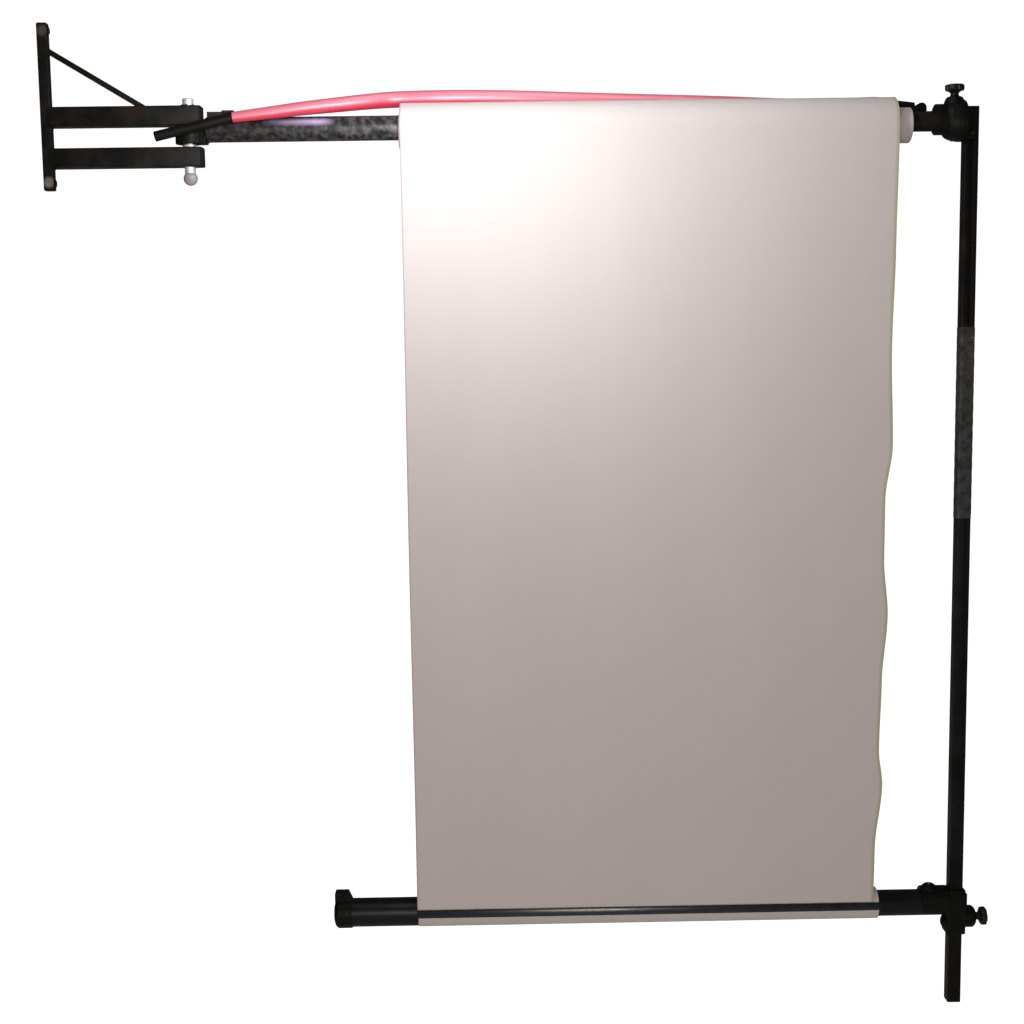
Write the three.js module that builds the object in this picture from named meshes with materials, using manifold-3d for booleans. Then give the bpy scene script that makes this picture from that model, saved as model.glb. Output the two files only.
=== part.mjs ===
// Wall-mounted swing-arm stand for a roll of diffusion sheet.
// Millimetres, +Z up. Origin: middle of the wall post's back face. +X runs from the wall to the
// hanging post, and the sheet's face looks along -Y.
import * as THREE from "three";
import { mergeVertices } from "three/addons/utils/BufferGeometryUtils.js";
import Module from "manifold-3d";

const wasm = await Module();
wasm.setup();

// ---------------------------------------------------------------- driving dimensions
const GAP = 0.3; // clearance between pieces that touch
const SLIDE_FIT = 0.6; // clearance on a diameter that turns or slides

const wallPost = { size: 20, wall: 2, height: 320 };
const wallScrew = { inset: 12, shank: 6, head: 13, headHeight: 1.6, washer: 18, washerThick: 0.8 };
const bracketArm = { size: 38, wall: 2.5, reach: 314.5, spacing: 80, middleZ: -60 };
const brace = { size: 11, topZ: 108, footX: 200 };
const plugFlange = 2.5; // visible thickness of a push-in tube plug
const plugDepth = 14;

const pivot = {
  inset: 24, pin: 22, stub: 15, ringWall: 4, ringThick: 1.8, washerWall: 2, washerThick: 4,
};
const pivotX = bracketArm.reach - pivot.inset; // everything past the pivot is placed from it
const knuckle = { diameter: 54, bushingWall: 2.2, flange: 34, flangeThick: 1.6 };
const pivotKnob = { ball: 28, stud: 12, spacer: 22, spacerLength: 12 };

const boom = { diameter: 48.3, wall: 3, rise: 12.4, start: 34, end: pivotX + 1409.5, plate: 4 };
const boomZ = bracketArm.middleZ + boom.rise;
const boomR = boom.diameter / 2;
const boomTop = boomZ + boomR;
const fromPivot = (x, y, rise) => new THREE.Vector3(pivotX + x, y, boomTop + rise);
const spigot = { diameter: 40, wall: 3, insertion: 180 };
const spigotScrew = { head: 12, headHeight: 4, shank: 6, fromEnd: 60 };

const pipe = { end: 20, middle: 31.8, wall: 1.6, taper: 315 };
const pipeStub = { diameter: 20, bore: 12, plug: 15.8, grip: 20 };
const stubLeft = {
  tailX: pivotX - 59, tailY: -boomR - 17.85, tailZ: boomTop - 41.05,
  mouthX: pivotX + 92.5, mouthY: -boomR - 11.85, mouthZ: boomTop - 5.05,
};
const stubRight = {
  tailX: pivotX + 1457.5, mouthX: pivotX + 1418.5, y: 46, mouthZ: boomTop + 15.05, slope: 0.12,
};
const bowStart = fromPivot(165.5, -boomR - 3.85, 4.15); // the pipe is straight up to here
const bowEnd = [1381.5, 51.4]; // and from here: x past the pivot, and height above the roll's axis
const saddle = {
  left: pivotX + 43.5, step: pivotX + 71.5, right: pivotX + 94.5,
  top: boomTop + 5.95, tabTop: boomTop + 9.45, front: -boomR - 13.85, back: -4,
};
const lug = {
  width: 20, back: 8, cradle: 14, cradleTop: boomTop + 6.45, top: boomTop + 14.25, lap: 4,
};

const core = { bore: 63.5, wall: 3, overhang: 33 };
const roll = { diameter: 108 };
const sheet = { width: 983, left: pivotX + 420.5, thick: 1.2 };

const post = { size: 28, wall: 2, x: pivotX + 1559, top: -22.5, bottom: -1883 };
const capThick = 2;

const tapeSleeve = { top: -457, bottom: -846, thick: 0.9 };

const upperClamp = { rim: 61, rimLength: 21, body: 82, bodyLength: 36.5, liner: 2, cheek: 4, boss: 42 };
const lockScrew = { diameter: 10, pad: 12, padLength: 7, pitch: 1.75, travel: 3.5 };
const lockKnob = { head: 38, headLength: 13.5, stem: 18, stemLength: 9, flutes: 6 };

const lowerAxisZ = -1667.5;
const armTube = { diameter: 54, wall: 2.5 };
const takeUp = { diameter: 59.4, left: pivotX + 255.5, right: pivotX + 1393.5 };
const endCap = { reach: 10, lip: 28, wall: 2, ear: 30, earHeight: 17, earDepth: 24 };
const batten = { height: 16, thick: 3, rise: 5 };
const lowerClamp = {
  half: 23, top: -1638, shoulder: -1645, waist: -1690, bottom: -1733, liner: 2, knobZ: -1700,
};
const armCollar = { diameter: 62, left: pivotX + 1486.5, dome: 19, domeX: pivotX + 1504.5 };

// ---------------------------------------------------------------- derived places
const upperArmZ = bracketArm.middleZ + bracketArm.spacing / 2;
const lowerArmZ = bracketArm.middleZ - bracketArm.spacing / 2;
const armHalf = bracketArm.size / 2;
const slotTop = upperArmZ - armHalf;
const slotBottom = lowerArmZ + armHalf;
const boomStart = pivotX + boom.start;
const coreInner = core.bore / 2;
const rollZ = boomZ + boomR + GAP - coreInner;
const coreOuter = coreInner + core.wall;
const sheetRight = sheet.left + sheet.width;
const postHalf = post.size / 2;
const clampRight = post.x - postHalf - GAP;
const clampLeft = clampRight - upperClamp.bodyLength;
const rimLeft = clampLeft - upperClamp.rimLength;
const upperKnobX = (clampLeft + clampRight) / 2;

// ---------------------------------------------------------------- materials
function paint(colour, roughness, metalness) {
  return new THREE.MeshStandardMaterial({ color: colour, roughness, metalness });
}
const blackPaint = () => paint(0x1c1c1b, 0.45, 0.3);
const blackPlastic = () => paint(0x161617, 0.55, 0.0);
const steel = () => paint(0xc8c8c6, 0.3, 1.0);
const bronze = () => paint(0x8d6a3a, 0.45, 0.9);
const greyBall = () => paint(0xb9b4b2, 0.4, 0.1);
const redPipe = () => paint(0xe02548, 0.2, 0.0);
const card = () => paint(0xc9bda8, 0.8, 0.0);
const film = () => paint(0xd4cdc8, 0.5, 0.0);

// ---------------------------------------------------------------- geometry helpers
function signedVolume(geometry) {
  const p = geometry.attributes.position;
  const index = geometry.index.array;
  const [a, b, c] = [new THREE.Vector3(), new THREE.Vector3(), new THREE.Vector3()];
  let volume = 0;
  for (let i = 0; i < index.length; i += 3) {
    a.fromBufferAttribute(p, index[i]);
    b.fromBufferAttribute(p, index[i + 1]);
    c.fromBufferAttribute(p, index[i + 2]);
    volume += a.dot(b.cross(c)) / 6;
  }
  return volume;
}

function closed(geometry) {
  const bare = geometry.clone();
  bare.deleteAttribute("normal");
  bare.deleteAttribute("uv");
  const merged = mergeVertices(bare);
  const index = Array.from(merged.index.array);
  const kept = [];
  for (let i = 0; i < index.length; i += 3) {
    const [a, b, c] = index.slice(i, i + 3);
    if (a !== b && b !== c && c !== a) kept.push(a, b, c);
  }
  merged.setIndex(kept);
  if (signedVolume(merged) < 0) {
    for (let i = 0; i < kept.length; i += 3) [kept[i], kept[i + 1]] = [kept[i + 1], kept[i]];
    merged.setIndex(kept);
  }
  return merged;
}

function solid(geometry) {
  const merged = closed(geometry);
  const mesh = new wasm.Mesh({
    numProp: 3,
    vertProperties: new Float32Array(merged.attributes.position.array),
    triVerts: new Uint32Array(merged.index.array),
  });
  return new wasm.Manifold(mesh);
}

function geometryOf(manifold) {
  const mesh = manifold.getMesh();
  const geometry = new THREE.BufferGeometry();
  geometry.setAttribute("position", new THREE.BufferAttribute(new Float32Array(mesh.vertProperties), 3));
  geometry.setIndex(new THREE.BufferAttribute(new Uint32Array(mesh.triVerts), 1));
  return geometry;
}

function join(...geometries) {
  return geometryOf(geometries.map(solid).reduce((a, b) => a.add(b)));
}

function cut(geometry, ...tools) {
  return geometryOf(tools.reduce((a, tool) => a.subtract(solid(tool)), solid(geometry)));
}

const AXIS_TURN = {
  x: (g) => g.rotateZ(-Math.PI / 2),
  y: (g) => g,
  z: (g) => g.rotateX(Math.PI / 2),
};

// A turned piece: profile points are [radius, distance along the axis].
function turned(axis, points, segments = 32) {
  const profile = points.map(([r, d]) => new THREE.Vector2(r, d));
  return AXIS_TURN[axis](new THREE.LatheGeometry(profile, segments));
}

function rod(axis, radius, from, to, segments = 32) {
  return turned(axis, [[0, from], [radius, from], [radius, to], [0, to]], segments);
}

function ring(axis, outer, inner, from, to, segments = 32) {
  return turned(axis, [[inner, from], [outer, from], [outer, to], [inner, to], [inner, from]], segments);
}

function block(x0, x1, y0, y1, z0, z1) {
  const geometry = new THREE.BoxGeometry(x1 - x0, y1 - y0, z1 - z0);
  return geometry.translate((x0 + x1) / 2, (y0 + y1) / 2, (z0 + z1) / 2);
}

function roundedSquare(size, radius) {
  const half = size / 2;
  const straight = half - radius;
  const outline = new THREE.Shape();
  outline.absarc(straight, straight, radius, 0, Math.PI / 2);
  outline.absarc(-straight, straight, radius, Math.PI / 2, Math.PI);
  outline.absarc(-straight, -straight, radius, Math.PI, Math.PI * 1.5);
  outline.absarc(straight, -straight, radius, Math.PI * 1.5, Math.PI * 2);
  outline.closePath();
  return outline;
}

// A square tube along +Z from 0, or a square bar when wall is 0.
function squareTube(size, wall, length, corner = 2.5) {
  const outline = roundedSquare(size, corner);
  if (wall > 0) outline.holes.push(roundedSquare(size - 2 * wall, Math.max(corner - wall, 0.5)));
  return new THREE.ExtrudeGeometry(outline, { depth: length, bevelEnabled: false, curveSegments: 3 });
}

function squareTubeX(size, wall, from, to) {
  return squareTube(size, wall, to - from).rotateY(Math.PI / 2).translate(from, 0, 0);
}

function hexBar(axis, acrossFlats, from, to) {
  const radius = acrossFlats / Math.sqrt(3);
  return rod(axis, radius, from, to, 6);
}

const stand = new THREE.Group();

function add(parent, name, geometry, material, place = [0, 0, 0]) {
  const mesh = new THREE.Mesh(closed(geometry), material);
  mesh.name = name;
  mesh.position.set(...place);
  parent.add(mesh);
  return mesh;
}

function group(parent, x, y, z) {
  const made = new THREE.Group();
  made.position.set(x, y, z);
  parent.add(made);
  return made;
}

// ---------------------------------------------------------------- wall bracket
function wallBracket() {
  const bracket = group(stand, 0, 0, 0);
  const half = wallPost.height / 2;
  const screwZ = half - wallScrew.inset;
  const hole = (z) => rod("x", wallScrew.shank / 2 + GAP, -1, wallPost.size + 1, 16).translate(0, 0, z);
  const tube = squareTube(wallPost.size, wallPost.wall, wallPost.height, 1.5);
  tube.translate(wallPost.size / 2, 0, -half);
  add(bracket, "wall_post", cut(tube, hole(screwZ), hole(-screwZ)), blackPaint());
  for (const [side, sign] of [["upper", 1], ["lower", -1]]) {
    wallFixing(bracket, side, sign * screwZ);
    const flange = block(0.6, wallPost.size - 0.6, 0.6 - wallPost.size / 2, wallPost.size / 2 - 0.6, 0, 2);
    const z = half + GAP;
    add(bracket, `wall_post_cap_${side}`, sign > 0 ? flange.translate(0, 0, z)
      : flange.translate(0, 0, -z - 2), blackPlastic());
  }
  bracketArms(bracket);
  add(bracket, "brace", braceBar(), blackPaint());
}

function wallFixing(parent, side, z) {
  const face = wallPost.size + GAP;
  const washerEnd = face + wallScrew.washerThick;
  const washer = ring("x", wallScrew.washer / 2, wallScrew.shank / 2 + GAP, face, washerEnd, 24);
  add(parent, `wall_washer_${side}`, washer, blackPaint(), [0, 0, z]);
  const shank = rod("x", wallScrew.shank / 2, 0.5, washerEnd + GAP + 1, 16);
  const head = hexBar("x", wallScrew.head, washerEnd + GAP, washerEnd + GAP + wallScrew.headHeight);
  add(parent, `wall_screw_${side}`, join(shank, head), blackPaint(), [0, 0, z]);
}

function bracketArms(parent) {
  const from = wallPost.size + GAP;
  const inner = bracketArm.size - 2 * bracketArm.wall - 2 * GAP;
  for (const [side, z] of [["upper", upperArmZ], ["lower", lowerArmZ]]) {
    const tube = squareTubeX(bracketArm.size, bracketArm.wall, from, bracketArm.reach);
    const bore = rod("z", pivot.pin / 2 + GAP, -bracketArm.size, bracketArm.size).translate(pivotX, 0, 0);
    add(parent, `bracket_arm_${side}`, cut(tube, bore), blackPaint(), [0, 0, z]);
    const plugStart = bracketArm.reach + GAP;
    const face = squareTubeX(bracketArm.size - 1, 0, plugStart, plugStart + plugFlange);
    const tongueStart = pivotX + pivot.pin / 2 + 2;
    const tongue = squareTubeX(inner, 0, tongueStart, plugStart + 1);
    add(parent, `arm_plug_${side}`, join(face, tongue), blackPlastic(), [0, 0, z]);
  }
}

function braceBar() {
  const footZ = upperArmZ + armHalf;
  const run = brace.footX - wallPost.size;
  const rise = brace.topZ - footZ;
  const length = Math.hypot(run, rise) + 4 * brace.size;
  const bar = new THREE.BoxGeometry(length, brace.size, brace.size);
  bar.rotateY(Math.atan2(rise, run));
  bar.translate((wallPost.size + brace.footX) / 2, 0, (brace.topZ + footZ) / 2);
  const behindPost = block(-200, wallPost.size + GAP, -50, 50, -300, 400);
  const underArm = block(-200, brace.footX + 200, -50, 50, -400, footZ + GAP);
  return cut(bar, behindPost, underArm);
}

// ---------------------------------------------------------------- pivot
function pivotPin() {
  const top = upperArmZ + armHalf + pivot.stub;
  const bottom = lowerArmZ - armHalf - GAP;
  const studEnd = bottom - GAP - pivotKnob.spacerLength - pivotKnob.ball * 0.6;
  const r = pivot.pin / 2;
  const stud = pivotKnob.stud / 2;
  const groove = upperArmZ + armHalf + GAP;
  const grooveTop = groove + pivot.ringThick + 2 * GAP;
  const profile = [
    [0, studEnd], [stud, studEnd], [stud, bottom], [r, bottom], [r, groove], [r - 1.2, groove],
    [r - 1.2, grooveTop], [r, grooveTop], [r, top - 1.5], [r - 1.5, top], [0, top],
  ];
  add(stand, "pivot_pin", turned("z", profile), steel(), [pivotX, 0, 0]);
  const clip = ring("z", r + pivot.ringWall, r - 1.2 + GAP, groove + GAP, groove + GAP + pivot.ringThick);
  const opening = block(0, pivot.pin + pivot.ringWall, -5, 5, groove - 1, grooveTop + 1);
  add(stand, "pin_retaining_ring", cut(clip, opening), steel(), [pivotX, 0, 0]);
  const washerFrom = slotBottom + GAP;
  const washer = ring("z", r + pivot.washerWall, r + GAP, washerFrom, washerFrom + pivot.washerThick);
  add(stand, "thrust_washer", washer, steel(), [pivotX, 0, 0]);
  pivotLock(bottom, studEnd);
}

function pivotLock(pinShoulder, studEnd) {
  const top = pinShoulder - GAP;
  const bore = pivotKnob.stud / 2 + GAP;
  const spacer = ring("z", pivotKnob.spacer / 2, bore, top - pivotKnob.spacerLength, top);
  add(stand, "pivot_lock_spacer", spacer, steel(), [pivotX, 0, 0]);
  const r = pivotKnob.ball / 2;
  const flat = r * 0.72;
  const topZ = top - pivotKnob.spacerLength - GAP;
  const centre = topZ - Math.sqrt(r * r - flat * flat);
  const start = Math.atan2(topZ - centre, flat);
  const profile = [[0, topZ]];
  for (let i = 0; i <= 9; i++) {
    const angle = start - (i / 9) * (start + Math.PI / 2);
    profile.push([i < 9 ? r * Math.cos(angle) : 0, centre + r * Math.sin(angle)]);
  }
  const studHole = rod("z", bore, studEnd - GAP, topZ + 1, 24);
  const ball = cut(turned("z", profile, 24), studHole);
  add(stand, "pivot_ball_knob", ball, greyBall(), [pivotX, 0, 0]);
}

function knuckleParts() {
  const bushOuter = pivot.pin / 2 + SLIDE_FIT / 2 + knuckle.bushingWall;
  const bore = bushOuter + GAP;
  const lowerFlange = slotBottom + GAP + pivot.washerThick + GAP;
  const bottom = lowerFlange + knuckle.flangeThick + GAP;
  const top = slotTop - GAP - knuckle.flangeThick - GAP;
  const plateX = boomStart;
  const barrel = rod("z", knuckle.diameter / 2, bottom, top);
  const neckHalf = knuckle.diameter / 2 - 8;
  const neck = block(0, boom.start + 1, -neckHalf, neckHalf, bottom, top);
  const plate = rod("x", boomR, 0, boom.plate).translate(boom.start, 0, boomZ);
  const hole = rod("z", bore, bottom - 1, top + 1);
  add(stand, "pivot_knuckle", cut(join(barrel, neck, plate), hole), blackPaint(), [pivotX, 0, 0]);
  const flange = knuckle.flange / 2;
  const inner = pivot.pin / 2 + SLIDE_FIT / 2;
  const sleeve = (top - bottom) / 2 - 2;
  for (const [side, face, sign] of [["lower", bottom - GAP, 1], ["upper", top + GAP, -1]]) {
    const out = face - sign * knuckle.flangeThick;
    const end = face + sign * sleeve;
    const profile = [
      [inner, out], [flange, out], [flange, face], [bushOuter, face], [bushOuter, end],
      [inner, end], [inner, out],
    ];
    add(stand, `pivot_bushing_${side}`, turned("z", profile), bronze(), [pivotX, 0, 0]);
  }
  return plateX + boom.plate;
}

// ---------------------------------------------------------------- boom and spigot
function boomParts(tubeStart) {
  const tube = ring("x", boomR, boomR - boom.wall, tubeStart + GAP, boom.end);
  const screwX = boom.end - spigotScrew.fromEnd;
  const screwHole = rod("z", spigotScrew.shank / 2 + GAP, -60, 0, 16).translate(screwX, 0, 0);
  add(stand, "boom_tube", cut(tube, screwHole), blackPaint(), [0, 0, boomZ]);
  const sleeveOuter = boomR - boom.wall - GAP;
  const spigotR = spigot.diameter / 2;
  const sleeveStart = boom.end - spigot.insertion;
  const lip = boomR - 1;
  const profile = [
    [spigotR + GAP, sleeveStart], [sleeveOuter, sleeveStart], [sleeveOuter, boom.end + GAP],
    [lip, boom.end + GAP], [lip, boom.end + GAP + 3], [spigotR + GAP, boom.end + GAP + 3],
    [spigotR + GAP, sleeveStart],
  ];
  add(stand, "boom_reducer", cut(turned("x", profile), screwHole), blackPlastic(), [0, 0, boomZ]);
  const spigotTube = ring("x", spigotR, spigotR - spigot.wall, sleeveStart, clampRight - 2);
  add(stand, "boom_spigot", cut(spigotTube, screwHole), blackPaint(), [0, 0, boomZ]);
  const headTop = -boomR - GAP;
  const head = rod("z", spigotScrew.head / 2, headTop - spigotScrew.headHeight, headTop, 16);
  const shank = rod("z", spigotScrew.shank / 2, headTop - 1, -spigotR + spigot.wall + 2, 16);
  add(stand, "spigot_screw", join(head, shank), steel(), [screwX, 0, boomZ]);
}

// ---------------------------------------------------------------- bowed pipe over the roll
function aimed(geometry, from, direction) {
  const turn = new THREE.Quaternion()
    .setFromUnitVectors(new THREE.Vector3(1, 0, 0), direction.clone().normalize());
  return geometry.applyQuaternion(turn).translate(from.x, from.y, from.z);
}

function pipeEnds() {
  const left = {
    tail: new THREE.Vector3(stubLeft.tailX, stubLeft.tailY, stubLeft.tailZ),
    mouth: new THREE.Vector3(stubLeft.mouthX, stubLeft.mouthY, stubLeft.mouthZ),
  };
  const drop = (stubRight.tailX - stubRight.mouthX) * stubRight.slope;
  const right = {
    tail: new THREE.Vector3(stubRight.tailX, stubRight.y, stubRight.mouthZ - drop),
    mouth: new THREE.Vector3(stubRight.mouthX, stubRight.y, stubRight.mouthZ),
  };
  left.lead = bowStart.clone().sub(left.mouth).normalize();
  right.lead = overRoll(...bowEnd).sub(right.mouth).normalize();
  return { left, right };
}

// A stub tube with a thinner plug for the pipe's end to push onto. The plug points along the pipe,
// so the stub's mouth is mitred square to it.
function stubTube(name, end) {
  const along = end.mouth.clone().sub(end.tail);
  const bore = pipeStub.bore / 2;
  const body = aimed(rod("x", pipeStub.diameter / 2, 0, along.length() + 4, 28), end.tail, along);
  const mitre = aimed(block(0, 30, -30, 30, -30, 30), end.mouth, end.lead);
  const plug = aimed(rod("x", pipeStub.plug / 2, -4, pipeStub.grip, 28), end.mouth, end.lead);
  const stubBore = aimed(rod("x", bore, -5, along.length() - 6, 28), end.tail, along);
  const plugBore = aimed(rod("x", bore - 1, -9, pipeStub.grip + 5, 28), end.mouth, end.lead);
  const whole = cut(join(cut(body, mitre), plug), stubBore, plugBore);
  add(stand, `pipe_stub_${name}`, whole, blackPaint());
}

function pipeRadius(x) {
  const fromEnd = Math.min(x - stubLeft.mouthX, stubRight.mouthX - x);
  const t = Math.min(Math.max(fromEnd / pipe.taper, 0), 1);
  return (pipe.end + (pipe.middle - pipe.end) * t ** 0.7) / 2;
}

// Over the roll the pipe leans on the back of it, its centre at a height above the roll's axis.
function overRoll(beyond, height) {
  const x = pivotX + beyond;
  const clear = roll.diameter / 2 + pipeRadius(x) + 1.3;
  return new THREE.Vector3(x, Math.sqrt(Math.max(clear * clear - height * height, 400)), rollZ + height);
}

function pipePath(ends) {
  const along = (end, distance) => end.mouth.clone().addScaledVector(end.lead, distance);
  const points = [
    along(ends.left, GAP), along(ends.left, pipeStub.grip), along(ends.left, pipeStub.grip + 14),
    bowStart, fromPivot(224.5, -20, 12.25), fromPivot(301.5, -5, 21.85), fromPivot(354.5, 9, 28.85),
    overRoll(407.5, 66.3), overRoll(499.5, 67.4), overRoll(619.5, 66.4), overRoll(820.5, 60.6),
    overRoll(1022.5, 54.6), overRoll(1184.5, 49.1), overRoll(1309.5, 49.0), overRoll(...bowEnd),
    along(ends.right, pipeStub.grip), along(ends.right, GAP),
  ];
  return new THREE.CatmullRomCurve3(points, false, "centripetal");
}

// The tube is drawn at its end's size, then each ring of it is widened about its centre.
function bowedPipe(ends) {
  const path = pipePath(ends);
  const steps = 44;
  const outline = new THREE.Shape();
  outline.absarc(0, 0, pipe.end / 2, 0, Math.PI * 2);
  const hole = new THREE.Path();
  hole.absarc(0, 0, pipe.end / 2 - pipe.wall, 0, Math.PI * 2);
  outline.holes.push(hole);
  const tube = new THREE.ExtrudeGeometry(outline, { steps, curveSegments: 8, extrudePath: path });
  const centres = path.getSpacedPoints(steps);
  const position = tube.attributes.position;
  const point = new THREE.Vector3();
  for (let i = 0; i < position.count; i++) {
    point.fromBufferAttribute(position, i);
    const near = centres.reduce((a, b) => (point.distanceTo(b) < point.distanceTo(a) ? b : a));
    point.sub(near).multiplyScalar((pipeRadius(near.x) * 2) / pipe.end).add(near);
    position.setXYZ(i, point.x, point.y, point.z);
  }
  add(stand, "bow_pipe", tube, redPipe());
}

// A straight bar along an end's axis, used to cut the seat that holds its stub.
function stubCutter(end, radius) {
  const along = end.mouth.clone().sub(end.tail);
  return aimed(rod("x", radius, -GAP, along.length() + 60, 24), end.tail, along);
}

function pipeMounts(ends) {
  const boomCutter = rod("x", boomR + GAP, 0, boom.end).translate(0, 0, boomZ);
  const low = boomZ + 8;
  const body = block(saddle.left, saddle.step + 1, saddle.front, saddle.back, low, saddle.top);
  const tab = block(saddle.step, saddle.right, saddle.front + 6, saddle.back - 8, low, saddle.tabTop);
  const stubR = pipeStub.diameter / 2 + GAP;
  const pipeRoom = rod("x", pipeRadius(saddle.right) + 1.2, stubLeft.mouthX - 1, saddle.right + 1)
    .translate(0, stubLeft.mouthY, stubLeft.mouthZ);
  const seat = cut(join(body, tab), boomCutter, stubCutter(ends.left, stubR), pipeRoom);
  add(stand, "pipe_saddle_left", seat, blackPaint());
  const spigotCutter = rod("x", spigot.diameter / 2 + GAP, boom.end, post.x).translate(0, 0, boomZ);
  const lugLeft = stubRight.tailX - lug.lap;
  const web = block(lugLeft - lug.cradle, lugLeft + lug.width, lug.back, stubRight.y + 8,
    boomZ - 2, lug.cradleTop);
  const head = rod("y", lug.width / 2, lug.back, stubRight.y + 8, 24)
    .translate(lugLeft + lug.width / 2, 0, lug.top - lug.width / 2);
  add(stand, "pipe_lug_right", cut(join(web, head), spigotCutter, stubCutter(ends.right, stubR)),
    blackPaint());
}

// ---------------------------------------------------------------- roll of sheet
function rollParts() {
  const coreRight = sheetRight + core.overhang;
  const tube = ring("x", coreOuter, coreInner, sheet.left - 3, coreRight, 36);
  add(stand, "roll_core", tube, card(), [0, 0, rollZ]);
  const winding = ring("x", roll.diameter / 2, coreOuter + GAP, sheet.left, sheetRight, 40);
  add(stand, "sheet_roll", winding, film(), [0, 0, rollZ]);
}

// ---------------------------------------------------------------- hanging post
function postParts() {
  const length = post.top - post.bottom;
  const boltZ = boomZ - 24;
  const tube = squareTube(post.size, post.wall, length).translate(post.x, 0, post.bottom);
  const boltHole = rod("y", 4 + GAP, -40, 40, 16).translate(post.x, 0, boltZ);
  add(stand, "post", cut(tube, boltHole), blackPaint());
  for (const [side, z0] of [["top", post.top + GAP], ["bottom", post.bottom - GAP - capThick]]) {
    const face = squareTube(post.size - 0.6, 0, capThick, 2).translate(post.x, 0, z0);
    const inner = post.size - 2 * post.wall - 2 * GAP;
    const tongueZ = side === "top" ? z0 - plugDepth : z0 + 1;
    const tongue = squareTube(inner, 0, plugDepth + 1, 0.6).translate(post.x, 0, tongueZ);
    add(stand, `post_cap_${side}`, join(face, tongue), blackPlastic());
  }
  const wrapped = post.size + 2 * GAP + 2 * tapeSleeve.thick;
  const sleeve = squareTube(wrapped, tapeSleeve.thick, tapeSleeve.top - tapeSleeve.bottom, 3)
    .translate(post.x, 0, tapeSleeve.bottom);
  add(stand, "post_tape_sleeve", sleeve, paint(0x4c4a44, 0.8, 0.0));
  crossBolt(boltZ);
}

function crossBolt(z) {
  const outside = postHalf + GAP + upperClamp.cheek + GAP;
  const shank = rod("y", 4, -outside - 1, outside + 8, 16);
  const head = hexBar("y", 13, -outside - 6, -outside);
  add(stand, "clamp_cross_bolt", join(shank, head), blackPaint(), [post.x, 0, z]);
  const nut = cut(hexBar("y", 13, outside, outside + 6), rod("y", 4 + GAP, 0, 60, 16));
  add(stand, "clamp_cross_nut", nut, blackPaint(), [post.x, 0, z]);
}

// ---------------------------------------------------------------- upper clamp on the spigot
function upperClampParts() {
  const linerInner = spigot.diameter / 2 + SLIDE_FIT / 2;
  const linerOuter = linerInner + upperClamp.liner;
  const rim = rod("x", upperClamp.rim / 2, rimLeft, clampLeft + 1).translate(0, 0, boomZ + 3);
  const R = upperClamp.body / 2;
  const length = upperClamp.bodyLength;
  const body = turned("x", [
    [0, 0], [R - 8, 0], [R - 4, length * 0.2], [R - 1.5, length * 0.45], [R, length * 0.7],
    [R, length], [0, length],
  ], 36).translate(clampLeft, 0, boomZ);
  const bossTop = -0.5;
  const bossR = upperClamp.boss / 2;
  const boss = turned("z", [
    [0, boomZ], [bossR, boomZ], [bossR, bossTop - 14], [bossR - 1.5, bossTop - 8],
    [bossR - 5, bossTop - 1.5], [bossR - 7, bossTop], [0, bossTop],
  ], 28).translate(upperKnobX, 0, 0);
  const cheekOut = postHalf + GAP + upperClamp.cheek;
  const cheekEnd = post.x + postHalf - 4;
  const cheeks = block(clampLeft + 16, cheekEnd, -cheekOut, cheekOut, boomZ - 38, boomZ + 12);
  const postTop = post.top + GAP + capThick + GAP;
  const channel = block(clampRight, cheekEnd + 1, -postHalf - GAP, postHalf + GAP, boomZ - 90, postTop);
  const bore = rod("x", linerOuter + GAP, rimLeft - 1, clampRight - 1.5).translate(0, 0, boomZ);
  const screwHole = rod("z", lockScrew.diameter / 2 + GAP, boomZ, 40, 20).translate(upperKnobX, 0, 0);
  const padTop = boomZ + spigot.diameter / 2 + GAP + lockScrew.padLength + lockScrew.travel + 1;
  const padHole = rod("z", lockScrew.pad / 2 + GAP, boomZ, padTop, 20).translate(upperKnobX, 0, 0);
  const boltHole = rod("y", 4 + GAP, -60, 60, 16).translate(post.x, 0, boomZ - 24);
  const casting = cut(join(rim, body, boss, cheeks), channel, bore, screwHole, padHole, boltHole);
  add(stand, "upper_clamp", casting, blackPaint());
  const liner = ring("x", linerOuter, linerInner, rimLeft, clampRight - 2).translate(0, 0, boomZ);
  add(stand, "upper_clamp_liner", cut(liner, padHole), blackPlastic());
  const seat = boomZ + spigot.diameter / 2 + GAP;
  lockSet("upper", "z", seat, bossTop, [upperKnobX, 0, 0]);
}

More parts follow.
